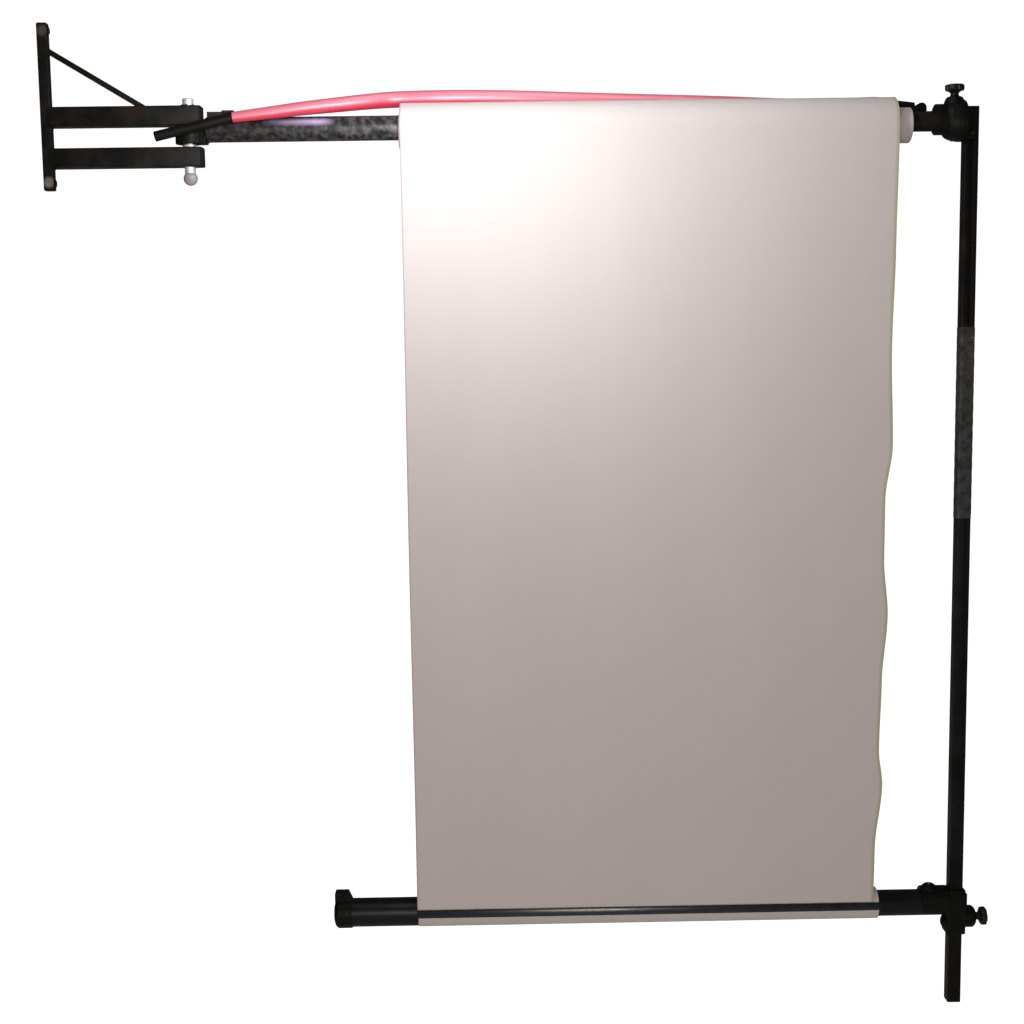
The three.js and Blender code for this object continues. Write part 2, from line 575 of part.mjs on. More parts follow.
// Pressure pad, screw and knob on one axis. The pad seats at `seat`, the knob clears `face`.
function lockSet(side, axis, seat, face, place) {
  const padEnd = seat + lockScrew.padLength;
  add(stand, `${side}_lock_pad`, rod(axis, lockScrew.pad / 2, seat, padEnd, 20), bronze(), place);
  const stemFrom = face + 1;
  const headFrom = stemFrom + lockKnob.stemLength;
  const headTo = headFrom + lockKnob.headLength;
  const r = lockScrew.diameter / 2;
  const screw = rod(axis, r, padEnd + GAP, headFrom + 4, 20);
  add(stand, `${side}_lock_screw`, screw, steel(), place);
  const head = lockKnob.head / 2;
  const stem = lockKnob.stem / 2;
  const knob = turned(axis, [
    [0, stemFrom], [stem - 1, stemFrom], [stem, stemFrom + 1], [stem - 1.5, headFrom - 4],
    [head - 8, headFrom], [head - 1, headFrom + 2.5], [head, headFrom + 5], [head, headTo - 1.5],
    [head - 1.5, headTo], [0, headTo + 0.6],
  ]);
  const flutes = [];
  for (let i = 0; i < lockKnob.flutes; i++) {
    const angle = ((i + 0.5) / lockKnob.flutes) * Math.PI * 2;
    const flute = rod(axis, 6, headFrom - 2, headTo + 4, 16);
    const out = [Math.cos(angle) * (head + 3), Math.sin(angle) * (head + 3)];
    flutes.push(axis === "z" ? flute.translate(out[0], out[1], 0) : flute.translate(0, out[0], out[1]));
  }
  const socket = rod(axis, r + GAP, stemFrom - 1, headFrom + 4 + GAP, 20);
  add(stand, `${side}_lock_knob`, cut(knob, socket, ...flutes), blackPlastic(), place);
}

// ---------------------------------------------------------------- sliding clamp and lower arm
function lowerClampParts() {
  const half = lowerClamp.half;
  const upperSleeve = squareTube(2 * half, 0, lowerClamp.shoulder - lowerClamp.waist, 9)
    .translate(post.x, 0, lowerClamp.waist);
  const collarTop = squareTube(2 * half - 6, 0, lowerClamp.top - lowerClamp.shoulder + 1, 8)
    .translate(post.x, 0, lowerClamp.shoulder - 1);
  const linerOut = postHalf + SLIDE_FIT / 2 + lowerClamp.liner;
  const lowerSleeve = squareTube(2 * (linerOut + 4), 0, lowerClamp.waist - lowerClamp.bottom + 1, 5)
    .translate(post.x, 0, lowerClamp.bottom);
  const collarR = armCollar.diameter / 2;
  const collarZ = lowerAxisZ + collarR - armTube.diameter / 2;
  const collar = rod("x", collarR, armCollar.left, post.x - linerOut, 36).translate(0, 0, collarZ);
  const dome = new THREE.SphereGeometry(armCollar.dome, 24, 16)
    .translate(armCollar.domeX, 0, collarZ + collarR - 11);
  const bossEnd = post.x + 43.5;
  const boss = turned("x", [[0, post.x + 16], [23, post.x + 16], [23, bossEnd - 6], [17, bossEnd], [0, bossEnd]])
    .translate(0, 0, lowerClamp.knobZ);
  const stopZ = lowerClamp.knobZ - 11;
  const heel = turned("x", [[0, 0], [14, 0], [14, 5], [8, 9], [0, 10]], 24)
    .rotateY(Math.PI).translate(post.x - linerOut - 2, 0, stopZ);
  const channelSize = 2 * (linerOut + GAP);
  const channel = squareTube(channelSize, 0, 200, 0.8).translate(post.x, 0, lowerClamp.bottom - 20);
  const tubeHole = rod("x", armTube.diameter / 2 + GAP, armCollar.left - 1, post.x - linerOut - 3, 36)
    .translate(0, 0, lowerAxisZ);
  const screwHole = rod("x", lockScrew.diameter / 2 + GAP, post.x, bossEnd + 5, 20)
    .translate(0, 0, lowerClamp.knobZ);
  const seat = post.x + postHalf + GAP;
  const padHole = rod("x", lockScrew.pad / 2 + GAP, post.x,
    seat + lockScrew.padLength + lockScrew.travel + 1, 20).translate(0, 0, lowerClamp.knobZ);
  const whole = join(upperSleeve, collarTop, lowerSleeve, collar, dome, boss, heel);
  const domeScrewHole = rod("z", 4 + GAP, lowerAxisZ, lowerAxisZ + 80, 16)
    .translate(armCollar.domeX, 0, 0);
  add(stand, "lower_clamp", cut(whole, channel, tubeHole, screwHole, padHole, domeScrewHole),
    blackPaint());
  const linerShape = squareTube(2 * linerOut, lowerClamp.liner, lowerClamp.top - lowerClamp.bottom - 2, 0.6)
    .translate(post.x, 0, lowerClamp.bottom + 1);
  add(stand, "lower_clamp_liner", cut(linerShape, padHole), blackPlastic());
  collarScrew(collarZ + collarR - 11 + armCollar.dome);
  lockSet("lower", "x", seat, bossEnd, [0, 0, lowerClamp.knobZ]);
}

function collarScrew(domeTop) {
  const from = lowerAxisZ + armTube.diameter / 2 + GAP;
  const screw = cut(rod("z", 4, from, domeTop - 1, 16), hexBar("z", 4, domeTop - 5, domeTop + 1));
  add(stand, "collar_screw", screw, steel(), [armCollar.domeX, 0, 0]);
}

function lowerArmParts() {
  const r = armTube.diameter / 2;
  const armEnd = post.x - postHalf - SLIDE_FIT / 2 - lowerClamp.liner - 3 - GAP;
  const tube = ring("x", r, r - armTube.wall, takeUp.left + 14, armEnd, 36);
  add(stand, "arm_tube", tube, blackPaint(), [0, 0, lowerAxisZ]);
  const roller = ring("x", takeUp.diameter / 2, r + SLIDE_FIT / 2, takeUp.left, takeUp.right, 36);
  add(stand, "take_up_tube", roller, blackPaint(), [0, 0, lowerAxisZ]);
  add(stand, "arm_end_stop", endStop(), blackPaint());
}

function endStop() {
  const endLeft = takeUp.left - endCap.reach;
  const r = takeUp.diameter / 2 + GAP + endCap.wall;
  const inner = takeUp.diameter / 2 + GAP;
  const floor = takeUp.left - GAP;
  const right = floor + endCap.lip;
  const shell = turned("x", [
    [0, endLeft + 1], [r - 15, endLeft], [r - 5, endLeft + 3], [r, endLeft + 9],
    [r, right], [inner, right], [inner, floor], [0, floor],
  ], 36).translate(0, 0, lowerAxisZ);
  const earTop = lowerAxisZ + takeUp.diameter / 2 + endCap.earHeight;
  const outline = new THREE.Shape();
  outline.moveTo(endLeft + 2, lowerAxisZ + 12);
  outline.lineTo(endLeft + 2, earTop - 2);
  outline.lineTo(endLeft + 4, earTop);
  outline.lineTo(endLeft + endCap.ear, earTop);
  outline.lineTo(right, earTop - endCap.earHeight);
  outline.lineTo(right, lowerAxisZ + 12);
  outline.closePath();
  const ear = new THREE.ExtrudeGeometry(outline, { depth: endCap.earDepth, bevelEnabled: false });
  ear.rotateX(Math.PI / 2).translate(0, endCap.earDepth / 2, 0);
  const tubeRoom = rod("x", inner, floor, right + 5, 36).translate(0, 0, lowerAxisZ);
  return cut(join(shell, ear), tubeRoom);
}

// ---------------------------------------------------------------- sheet between roll and lower arm
const wrapInner = takeUp.diameter / 2 + GAP;
const wrapOuter = wrapInner + sheet.thick;

function sheetParts() {
  const wrapRight = Math.min(sheetRight - 10, takeUp.right - 2);
  const wrap = ring("x", wrapOuter, wrapInner, sheet.left + 3, wrapRight, 36);
  add(stand, "sheet_wrap", wrap, film(), [0, 0, lowerAxisZ]);
  const top = [-roll.diameter / 2 - GAP, rollZ];
  const bottom = [-wrapOuter - GAP, lowerAxisZ + batten.rise + batten.height / 2 + 3];
  const outline = new THREE.Shape();
  outline.moveTo(top[0], top[1]);
  outline.lineTo(top[0] - sheet.thick, top[1]);
  outline.lineTo(bottom[0] - sheet.thick, bottom[1]);
  outline.lineTo(bottom[0], bottom[1]);
  outline.closePath();
  const panel = new THREE.ExtrudeGeometry(outline, { depth: sheet.width - 4, bevelEnabled: false });
  panel.applyMatrix4(new THREE.Matrix4().set(0, 0, 1, sheet.left + 2, 1, 0, 0, 0, 0, 1, 0, 0, 0, 0, 0, 1));
  add(stand, "hanging_sheet", panel, film());
  const strip = ring("x", wrapOuter + GAP + batten.thick, wrapOuter + GAP, sheet.left + 1,
    wrapRight + 2, 48).translate(0, 0, lowerAxisZ);
  const middle = lowerAxisZ + batten.rise;
  const above = block(0, 3000, -200, 200, middle + batten.height / 2, middle + 200);
  const below = block(0, 3000, -200, 200, middle - 200, middle - batten.height / 2);
  const behind = block(0, 3000, 0, 200, middle - 200, middle + 200);
  add(stand, "sheet_batten", cut(strip, above, below, behind), blackPlastic());
}

wallBracket();
pivotPin();
boomParts(knuckleParts());
const ends = pipeEnds();
stubTube("left", ends.left);
stubTube("right", ends.right);
bowedPipe(ends);
pipeMounts(ends);
rollParts();
postParts();
upperClampParts();
lowerClampParts();
lowerArmParts();
sheetParts();

export default stand;
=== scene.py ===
# Wall-mounted swing-arm stand with a roll of diffusion sheet: the looks, built round the CAD frame.
# Metres, +Z up, origin at the middle of the wall post's back face, +X along the boom at rest.
import math

import bmesh
import bpy
from mathutils import Matrix, Vector, noise


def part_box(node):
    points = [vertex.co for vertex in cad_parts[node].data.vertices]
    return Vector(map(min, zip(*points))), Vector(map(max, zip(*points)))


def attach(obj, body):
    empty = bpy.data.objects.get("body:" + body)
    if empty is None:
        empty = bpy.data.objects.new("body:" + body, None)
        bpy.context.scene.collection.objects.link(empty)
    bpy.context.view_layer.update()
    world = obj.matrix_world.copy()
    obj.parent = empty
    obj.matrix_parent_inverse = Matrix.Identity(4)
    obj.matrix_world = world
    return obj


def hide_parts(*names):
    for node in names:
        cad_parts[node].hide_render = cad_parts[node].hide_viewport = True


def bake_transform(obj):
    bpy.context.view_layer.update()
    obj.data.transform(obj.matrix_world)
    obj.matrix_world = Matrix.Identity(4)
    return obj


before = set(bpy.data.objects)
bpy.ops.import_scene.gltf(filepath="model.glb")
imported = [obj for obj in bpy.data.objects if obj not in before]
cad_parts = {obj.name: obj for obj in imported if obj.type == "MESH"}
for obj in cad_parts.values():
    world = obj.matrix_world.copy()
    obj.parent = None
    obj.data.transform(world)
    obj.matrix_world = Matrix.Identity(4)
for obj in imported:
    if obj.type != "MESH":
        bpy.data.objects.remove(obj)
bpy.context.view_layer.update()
scene = bpy.context.scene

# ---------------------------------------------------------------- camera
# Just in front of the sheet and a little below the boom, so the roll is seen slightly from
# underneath and the lower arm from above.
eye = Vector((0.889, -3.016, -0.4754))
yaw, pitch, roll = 0.011, -0.114, -0.014
focal_px, frame_px, sensor_mm = 1479.3, 1024, 36.0
ahead = Vector((math.sin(yaw) * math.cos(pitch), math.cos(yaw) * math.cos(pitch), math.sin(pitch)))
level = Vector((math.cos(yaw), -math.sin(yaw), 0))
upright = level.cross(ahead)
right = level * math.cos(roll) + upright * math.sin(roll)
up = upright * math.cos(roll) - level * math.sin(roll)
camera_data = bpy.data.cameras.new("camera")
camera_data.sensor_width = sensor_mm
camera_data.lens = focal_px / frame_px * sensor_mm
camera_data.clip_end = 50
camera = bpy.data.objects.new("camera", camera_data)
scene.collection.objects.link(camera)
turn = Matrix((right, up, -ahead)).transposed().to_4x4()
camera.matrix_world = Matrix.Translation(eye) @ turn
scene.camera = camera

# ---------------------------------------------------------------- studio
# A white cyclorama with little ambient light: one lamp close in front of the sheet's upper left,
# which burns that corner out, a soft, warmer one beside the camera, and a wide one above the roll.
scene.view_settings.view_transform = "Standard"
world = bpy.data.worlds.new("studio")
scene.world = world
world.use_nodes = True
sky = world.node_tree
sky.nodes.clear()
sky_out = sky.nodes.new("ShaderNodeOutputWorld")
sky_mix = sky.nodes.new("ShaderNodeMixShader")
sky_seen = sky.nodes.new("ShaderNodeBackground")
sky_seen.inputs["Color"].default_value = (1, 1, 1, 1)
sky_seen.inputs["Strength"].default_value = 1.05
sky_light = sky.nodes.new("ShaderNodeBackground")
sky_light.inputs["Color"].default_value = (1.0, 0.985, 0.98, 1)
sky_light.inputs["Strength"].default_value = 0.09
ray = sky.nodes.new("ShaderNodeLightPath")
sky.links.new(ray.outputs["Is Camera Ray"], sky_mix.inputs["Fac"])
sky.links.new(sky_light.outputs[0], sky_mix.inputs[1])
sky.links.new(sky_seen.outputs[0], sky_mix.inputs[2])
sky.links.new(sky_mix.outputs[0], sky_out.inputs["Surface"])


def soft_box(name, place, target, size, power, tint=(1, 1, 1)):
    data = bpy.data.lights.new(name, "AREA")
    data.shape = "SQUARE"
    data.size = size
    data.energy = power
    data.color = tint
    lamp = bpy.data.objects.new(name, data)
    scene.collection.objects.link(lamp)
    lamp.location = place
    lamp.rotation_euler = (Vector(target) - Vector(place)).to_track_quat("-Z", "Y").to_euler()
    lamp.visible_camera = False


soft_box("key_light", (0.80, -0.755, 0.0), (0.80, 0.0, 0.0), 0.22, 7.9, (0.97, 1.0, 1.03))
soft_box("fill_light", (0.95, -3.1, -1.05), (1.0, 0.0, -0.8), 0.7, 36.0, (1.0, 0.92, 0.86))
soft_box("top_light", (1.15, -0.45, 0.75), (1.15, 0.0, 0.0), 0.8, 5.0)

floor_depth = -2.35
floor_mesh = bpy.data.meshes.new("floor")
floor_bm = bmesh.new()
bmesh.ops.create_grid(floor_bm, x_segments=1, y_segments=1, size=15,
                      matrix=Matrix.Translation((0.9, 6.0, floor_depth)))
floor_bm.to_mesh(floor_mesh)
floor_bm.free()
floor = bpy.data.objects.new("floor", floor_mesh)
scene.collection.objects.link(floor)
floor_paint = bpy.data.materials.new("floor_paint")
floor_paint.use_nodes = True
floor_bsdf = floor_paint.node_tree.nodes["Principled BSDF"]
floor_bsdf.inputs["Base Color"].default_value = (0.9, 0.9, 0.9, 1)
floor_bsdf.inputs["Roughness"].default_value = 0.9
floor_bsdf.inputs["Emission Color"].default_value = (1, 1, 1, 1)
floor_ray = floor_paint.node_tree.nodes.new("ShaderNodeLightPath")
floor_glow = floor_paint.node_tree.nodes.new("ShaderNodeMapRange")
floor_glow.inputs["To Min"].default_value = 0.08
floor_glow.inputs["To Max"].default_value = 1.0
floor_paint.node_tree.links.new(floor_ray.outputs["Is Camera Ray"], floor_glow.inputs["Value"])
floor_paint.node_tree.links.new(floor_glow.outputs["Result"], floor_bsdf.inputs["Emission Strength"])
floor_mesh.materials.append(floor_paint)

# ---------------------------------------------------------------- wall post and bracket arms
# Square steel tubes, cut, welded and sprayed satin black. The post stands against the wall on two
# screws; the two arms hold the pivot pin between their ends, and a bar braces the upper one.


def new_group(name, inputs, outputs):
    group = bpy.data.node_groups.new(name, "ShaderNodeTree")
    for socket, kind, value in inputs:
        made = group.interface.new_socket(socket, in_out="INPUT", socket_type=kind)
        if value is not None:
            made.default_value = value
    for socket, kind in outputs:
        group.interface.new_socket(socket, in_out="OUTPUT", socket_type=kind)
    return group, group.nodes.new("NodeGroupInput"), group.nodes.new("NodeGroupOutput")


def node_of(tree, kind, **settings):
    made = tree.nodes.new(kind)
    for key, value in settings.items():
        if key in made.inputs:
            made.inputs[key].default_value = value
        else:
            setattr(made, key, value)
    return made


def spread(tree, value, low, high, to_low=0.0, to_high=1.0):
    made = tree.nodes.new("ShaderNodeMapRange")
    made.inputs["From Min"].default_value = low
    made.inputs["From Max"].default_value = high
    made.inputs["To Min"].default_value = to_low
    made.inputs["To Max"].default_value = to_high
    tree.links.new(value, made.inputs["Value"])
    return made.outputs["Result"]


def arithmetic(tree, operation, a, b):
    made = tree.nodes.new("ShaderNodeMath")
    made.operation = operation
    for socket, value in zip(made.inputs, (a, b)):
        if isinstance(value, (int, float)):
            socket.default_value = value
        else:
            tree.links.new(value, socket)
    return made.outputs[0]


def wear_group():
    """Edge wear, blotches, long scratches and a fine grain, all in object space."""
    group, given, out = new_group(
        "wear",
        [("Blotch Scale", "NodeSocketFloat", 18.0), ("Grain Scale", "NodeSocketFloat", 900.0)],
        [("Edge", "NodeSocketFloat"), ("Blotch", "NodeSocketFloat"), ("Scratch", "NodeSocketFloat"),
         ("Grain", "NodeSocketFloat")],
    )
    place = group.nodes.new("ShaderNodeTexCoord").outputs["Object"]
    blotch = node_of(group, "ShaderNodeTexNoise", Detail=6.0, Roughness=0.6)
    group.links.new(place, blotch.inputs["Vector"])
    group.links.new(given.outputs["Blotch Scale"], blotch.inputs["Scale"])
    grain = node_of(group, "ShaderNodeTexNoise", Detail=3.0)
    group.links.new(place, grain.inputs["Vector"])
    group.links.new(given.outputs["Grain Scale"], grain.inputs["Scale"])
    long_way = node_of(group, "ShaderNodeMapping", Scale=(14.0, 420.0, 420.0), Rotation=(0.0, 0.35, 0.2))
    group.links.new(place, long_way.inputs["Vector"])
    scratch = node_of(group, "ShaderNodeTexNoise", Scale=1.0, Detail=2.0)
    group.links.new(long_way.outputs[0], scratch.inputs["Vector"])
    lines = spread(group, scratch.outputs["Fac"], 0.66, 0.74)
    bent = group.nodes.new("ShaderNodeNewGeometry").outputs["Pointiness"]
    edge = spread(group, bent, 0.52, 0.6)
    chips = spread(group, blotch.outputs["Fac"], 0.42, 0.62)
    group.links.new(arithmetic(group, "MULTIPLY", edge, chips), out.inputs["Edge"])
    group.links.new(blotch.outputs["Fac"], out.inputs["Blotch"])
    group.links.new(arithmetic(group, "MULTIPLY", lines, chips), out.inputs["Scratch"])
    group.links.new(grain.outputs["Fac"], out.inputs["Grain"])
    return group


wear = wear_group()


def blend_colour(tree, mask, a, b):
    made = tree.nodes.new("ShaderNodeMix")
    made.data_type = "RGBA"
    tree.links.new(mask, made.inputs["Factor"])
    for socket, colour in ((made.inputs["A"], a), (made.inputs["B"], b)):
        if isinstance(colour, tuple):
            socket.default_value = (*colour, 1)
        else:
            tree.links.new(colour, socket)
    return made.outputs["Result"]


def finish_material(name, dark, light, worn, rough=(0.35, 0.55), metallic=0.0, specular=0.35,
                    blotch=18.0, grain=900.0, bump=0.08, edge=0.7, scratch=0.4, coat=0.0):
    """A hard surface: two close tones in blotches, worn edges, scratches and a fine grain."""
    material = bpy.data.materials.new(name)
    material.use_nodes = True
    tree = material.node_tree
    shader = tree.nodes["Principled BSDF"]
    shader.inputs["Specular IOR Level"].default_value = specular
    shader.inputs["Metallic"].default_value = metallic
    shader.inputs["Coat Weight"].default_value = coat
    group = tree.nodes.new("ShaderNodeGroup")
    group.node_tree = wear
    group.inputs["Blotch Scale"].default_value = blotch
    group.inputs["Grain Scale"].default_value = grain
    tones = blend_colour(tree, spread(tree, group.outputs["Blotch"], 0.35, 0.65), dark, light)
    edge_mask = arithmetic(tree, "MULTIPLY", group.outputs["Edge"], edge)
    scratch_mask = arithmetic(tree, "MULTIPLY", group.outputs["Scratch"], scratch)
    mask = arithmetic(tree, "MAXIMUM", edge_mask, scratch_mask)
    colour = blend_colour(tree, mask, tones, worn)
    tree.links.new(colour, shader.inputs["Base Color"])
    tree.links.new(spread(tree, group.outputs["Blotch"], 0.3, 0.7, rough[1], rough[0]),
                   shader.inputs["Roughness"])
    raised = tree.nodes.new("ShaderNodeBump")
    raised.inputs["Strength"].default_value = bump
    raised.inputs["Distance"].default_value = 0.0006
    height = arithmetic(tree, "SUBTRACT", group.outputs["Grain"], mask)
    tree.links.new(height, raised.inputs["Height"])
    tree.links.new(raised.outputs["Normal"], shader.inputs["Normal"])
    return material


def new_piece(name, mesh_data, body, slot, material, *nodes):
    """Links a finished mesh, gives it its finish and its body, and hides the CAD nodes it stands for."""
    mesh = bpy.data.meshes.new(name)
    mesh_data.to_mesh(mesh)
    mesh_data.free()
    made = bpy.data.objects.new(name, mesh)
    scene.collection.objects.link(made)
    mesh.materials.append(material)
    mesh.shade_smooth()
    mesh.set_sharp_from_angle(angle=math.radians(34))
    if body:
        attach(made, body)
    if nodes:
        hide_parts(*nodes)
    return made


def merged_copy(node):
    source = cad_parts[node].data
    bm = bmesh.new()
    bm.from_mesh(source)
    bmesh.ops.remove_doubles(bm, verts=bm.verts, dist=2e-6)
    bmesh.ops.dissolve_limit(bm, angle_limit=math.radians(0.4), verts=bm.verts, edges=bm.edges)
    return bm


def eased_copy(node, body, slot, material, width, segments=2):
    """The CAD shape with its sharp edges broken, as a filed or moulded part has them."""
    bm = merged_copy(node)
    sharp = [e for e in bm.edges if e.is_manifold and e.calc_face_angle(0) > math.radians(35)]
    bmesh.ops.bevel(bm, geom=sharp, offset=width, offset_type="OFFSET", segments=segments,
                    profile=0.5, affect="EDGES", material=-1, clamp_overlap=True)
    return new_piece(node + "_piece", bm, body, slot, material, node)




def bracket_black(name):
    """Sprayed satin black with a faint brown in it."""
    return finish_material(name, (0.0036, 0.0038, 0.0034), (0.0062, 0.0058, 0.005),
                           (0.05, 0.032, 0.022), rough=(0.42, 0.6), specular=0.16, scratch=0.25)


satin_black = bracket_black("satin_black")
black_moulding = finish_material("black_moulding", (0.004, 0.004, 0.0045), (0.007, 0.007, 0.0075),
                                 (0.02, 0.02, 0.02), rough=(0.45, 0.65), specular=0.2, edge=0.3,
                                 scratch=0.1)
post_black = finish_material("post_black", (0.0013, 0.0013, 0.0016), (0.0028, 0.0026, 0.0026),
                             (0.03, 0.022, 0.016), rough=(0.4, 0.55), specular=0.14, scratch=0.2)
zinc_plate = finish_material("zinc_plate", (0.62, 0.61, 0.6), (0.8, 0.79, 0.78), (0.9, 0.9, 0.9),
                             rough=(0.2, 0.4), metallic=1.0, bump=0.03, grain=2500.0)



def pale_patch_post_material():
    """The bracket's black with two round pale warm-grey patches on the post's front, a strong one near
    its foot and a faint one near its head.
    """
    material = bracket_black("pale_patch_post")
    tree = material.node_tree
    shader = tree.nodes["Principled BSDF"]
    group = next(n for n in tree.nodes if n.type == "GROUP")
    place = tree.nodes.new("ShaderNodeTexCoord").outputs["Object"]
    ragged = spread(tree, group.outputs["Blotch"], 0.35, 0.55, 0.5, 1.0)
    post_middle, post_front = 0.011, -0.010
    # Round pale warm-grey patches on the post's front at the screw heights, strong near the foot and
    # faint near the head.
    for height, paleness in ((-0.146, 0.9), (0.147, 0.25)):
        spot = node_of(tree, "ShaderNodeVectorMath", operation="DISTANCE")
        tree.links.new(place, spot.inputs[0])
        spot.inputs[1].default_value = (post_middle, post_front, height)
        patch_fade = spread(tree, spot.outputs["Value"], 0.013, 0.006, 0.0, paleness)
        mask = arithmetic(tree, "MULTIPLY", patch_fade, ragged)
        painted = shader.inputs["Base Color"].links[0].from_socket
        tree.links.new(blend_colour(tree, mask, painted, (0.3, 0.25, 0.22)), shader.inputs["Base Color"])
    return material


eased_copy("wall_post", "wall_bracket", "black_paint", pale_patch_post_material(), 0.0006)
for tube in ("bracket_arm_upper", "bracket_arm_lower", "brace"):
    eased_copy(tube, "wall_bracket", "black_paint", satin_black, 0.0006)
for cap in ("wall_post_cap_upper", "wall_post_cap_lower", "arm_plug_upper", "arm_plug_lower"):
    eased_copy(cap, "wall_bracket", "black_plastic", black_moulding, 0.0007)
for fixing in ("wall_screw_upper", "wall_screw_lower", "wall_washer_upper", "wall_washer_lower"):
    eased_copy(fixing, "wall_bracket", "black_paint", satin_black, 0.0003)


def weld_bead(name, corners, radius, body, closed=True, ripple=0.0045):
    """A rippled fillet of weld metal laid along a path, painted over with the tubes."""
    curve = bpy.data.curves.new(name, "CURVE")
    curve.dimensions = "3D"
    curve.bevel_depth = radius
    curve.bevel_resolution = 2
    curve.use_fill_caps = not closed
    loop = corners + corners[:1] if closed else corners
    path = []
    for a, b in zip(loop, loop[1:]):
        a, b = Vector(a), Vector(b)
        count = max(2, round((b - a).length / (ripple / 4)))
        path += [a.lerp(b, i / count) for i in range(count)]
    if not closed:
        path.append(Vector(corners[-1]))
    spline = curve.splines.new("POLY")
    spline.points.add(len(path) - 1)
    for i, (point, place) in enumerate(zip(spline.points, path)):
        point.co = (*place, 1)
        point.radius = 1 + 0.22 * math.sin(i * math.pi / 2) + 0.15 * noise.noise(place * 300)
    spline.use_cyclic_u = closed
    holder = bpy.data.objects.new(name, curve)
    scene.collection.objects.link(holder)
    shape = bpy.data.meshes.new_from_object(holder.evaluated_get(bpy.context.evaluated_depsgraph_get()))
    bpy.data.objects.remove(holder)
    bm = bmesh.new()
    bm.from_mesh(shape)
    return new_piece(name, bm, body, "black_paint", satin_black)


for arm in ("upper", "lower"):
    low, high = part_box(f"bracket_arm_{arm}")
    post_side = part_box("wall_post")[1]
    weld_bead(f"weld_arm_{arm}", [(post_side.x, -post_side.y, high.z), (post_side.x, post_side.y, high.z),
                                  (post_side.x, post_side.y, low.z), (post_side.x, -post_side.y, low.z)],
              0.0014, "wall_bracket")
weld_x, weld_y, weld_top = 0.0205, 0.0055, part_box("brace")[1].z
weld_foot = weld_top - 0.0125
weld_bead("weld_brace_post", [(weld_x, -weld_y, weld_top), (weld_x, weld_y, weld_top),
                              (weld_x, weld_y, weld_foot), (weld_x, -weld_y, weld_foot)],
          0.0012, "wall_bracket")

# ---------------------------------------------------------------- pivot pin and ball knob
# A bright turned pin drops through both arms, with a snap ring above and a thrust washer under the
# knuckle. Below, a spacer and a moulded grey ball knob draw it tight.


def turned(profile, start=(0, 0, 0), direction=(1, 0, 0), steps=64):
    """Spins a profile of (radius, distance) points round a direction from a start."""
    bm = bmesh.new()
    points = [bm.verts.new((d, r, 0)) for r, d in profile]
    loop = list(zip(points, points[1:]))
    if profile[0][0] > 0:
        loop.append((points[-1], points[0]))
    edges = [bm.edges.new(pair) for pair in loop]
    bmesh.ops.spin(bm, geom=points + edges, cent=(0, 0, 0), axis=(1, 0, 0), dvec=(0, 0, 0),
                   angle=math.tau, steps=steps, use_merge=True, use_duplicate=False)
    bmesh.ops.remove_doubles(bm, verts=bm.verts, dist=1e-6)
    bmesh.ops.recalc_face_normals(bm, faces=bm.faces)
    aim = Vector((1, 0, 0)).rotation_difference(Vector(direction)).to_matrix().to_4x4()
    bmesh.ops.transform(bm, matrix=Matrix.Translation(start) @ aim, verts=bm.verts)
    return bm


def tube_profile(outer, inner, start, end, rim=0.0006):
    return [
        (inner, start + rim), (inner + rim, start), (outer - rim, start), (outer, start + rim),
        (outer, end - rim), (outer - rim, end), (inner + rim, end), (inner, end - rim),
    ]


pin_steel = finish_material("pin_steel", (0.8, 0.78, 0.79), (0.93, 0.91, 0.92), (0.98, 0.98, 0.98),
                            rough=(0.45, 0.6), metallic=0.6, bump=0.02, grain=3000.0, scratch=0.2)
pin_low, pin_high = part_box("pivot_pin")
pivot_x = (pin_low.x + pin_high.x) / 2
eased_copy("pivot_pin", "wall_bracket", "bright_steel", pin_steel, 0.0003)
eased_copy("pin_retaining_ring", "wall_bracket", "bright_steel", zinc_plate, 0.0003)
for washer in ("thrust_washer", "pivot_lock_spacer"):
    low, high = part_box(washer)
    bore = 0.0113 if washer == "thrust_washer" else 0.0063
    shape = turned(tube_profile((high.x - low.x) / 2, bore, low.z, high.z, 0.0004),
                   (pivot_x, 0, 0), (0, 0, 1), 48)
    new_piece(washer + "_piece", shape, "wall_bracket", "bright_steel", pin_steel, washer)
ball_grey = finish_material("ball_grey", (0.25, 0.215, 0.215), (0.42, 0.385, 0.385), (0.55, 0.52, 0.52),
                            rough=(0.3, 0.5), specular=0.5, blotch=60.0, bump=0.05, scratch=0.2)
ball_low, ball_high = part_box("pivot_ball_knob")
ball_r = (ball_high.x - ball_low.x) / 2
ball_centre = ball_low.z + ball_r
neck_r = 0.0063
flat_angle = math.asin((ball_high.z - ball_centre) / ball_r)
ball_profile = [(0, 0.0175), (neck_r, 0.0175), (neck_r, ball_high.z - ball_low.z)]
for i in range(24):
    angle = flat_angle - (i / 24) * (flat_angle + math.pi / 2)
    ball_profile.append((ball_r * math.cos(angle), ball_r + ball_r * math.sin(angle)))
ball_profile.append((0, 0))
ball_shape = turned(ball_profile, (pivot_x, 0, ball_low.z), (0, 0, 1), 48)
new_piece("pivot_ball_knob_piece", ball_shape, "ball_knob", "grey_plastic", ball_grey,
          "pivot_ball_knob")
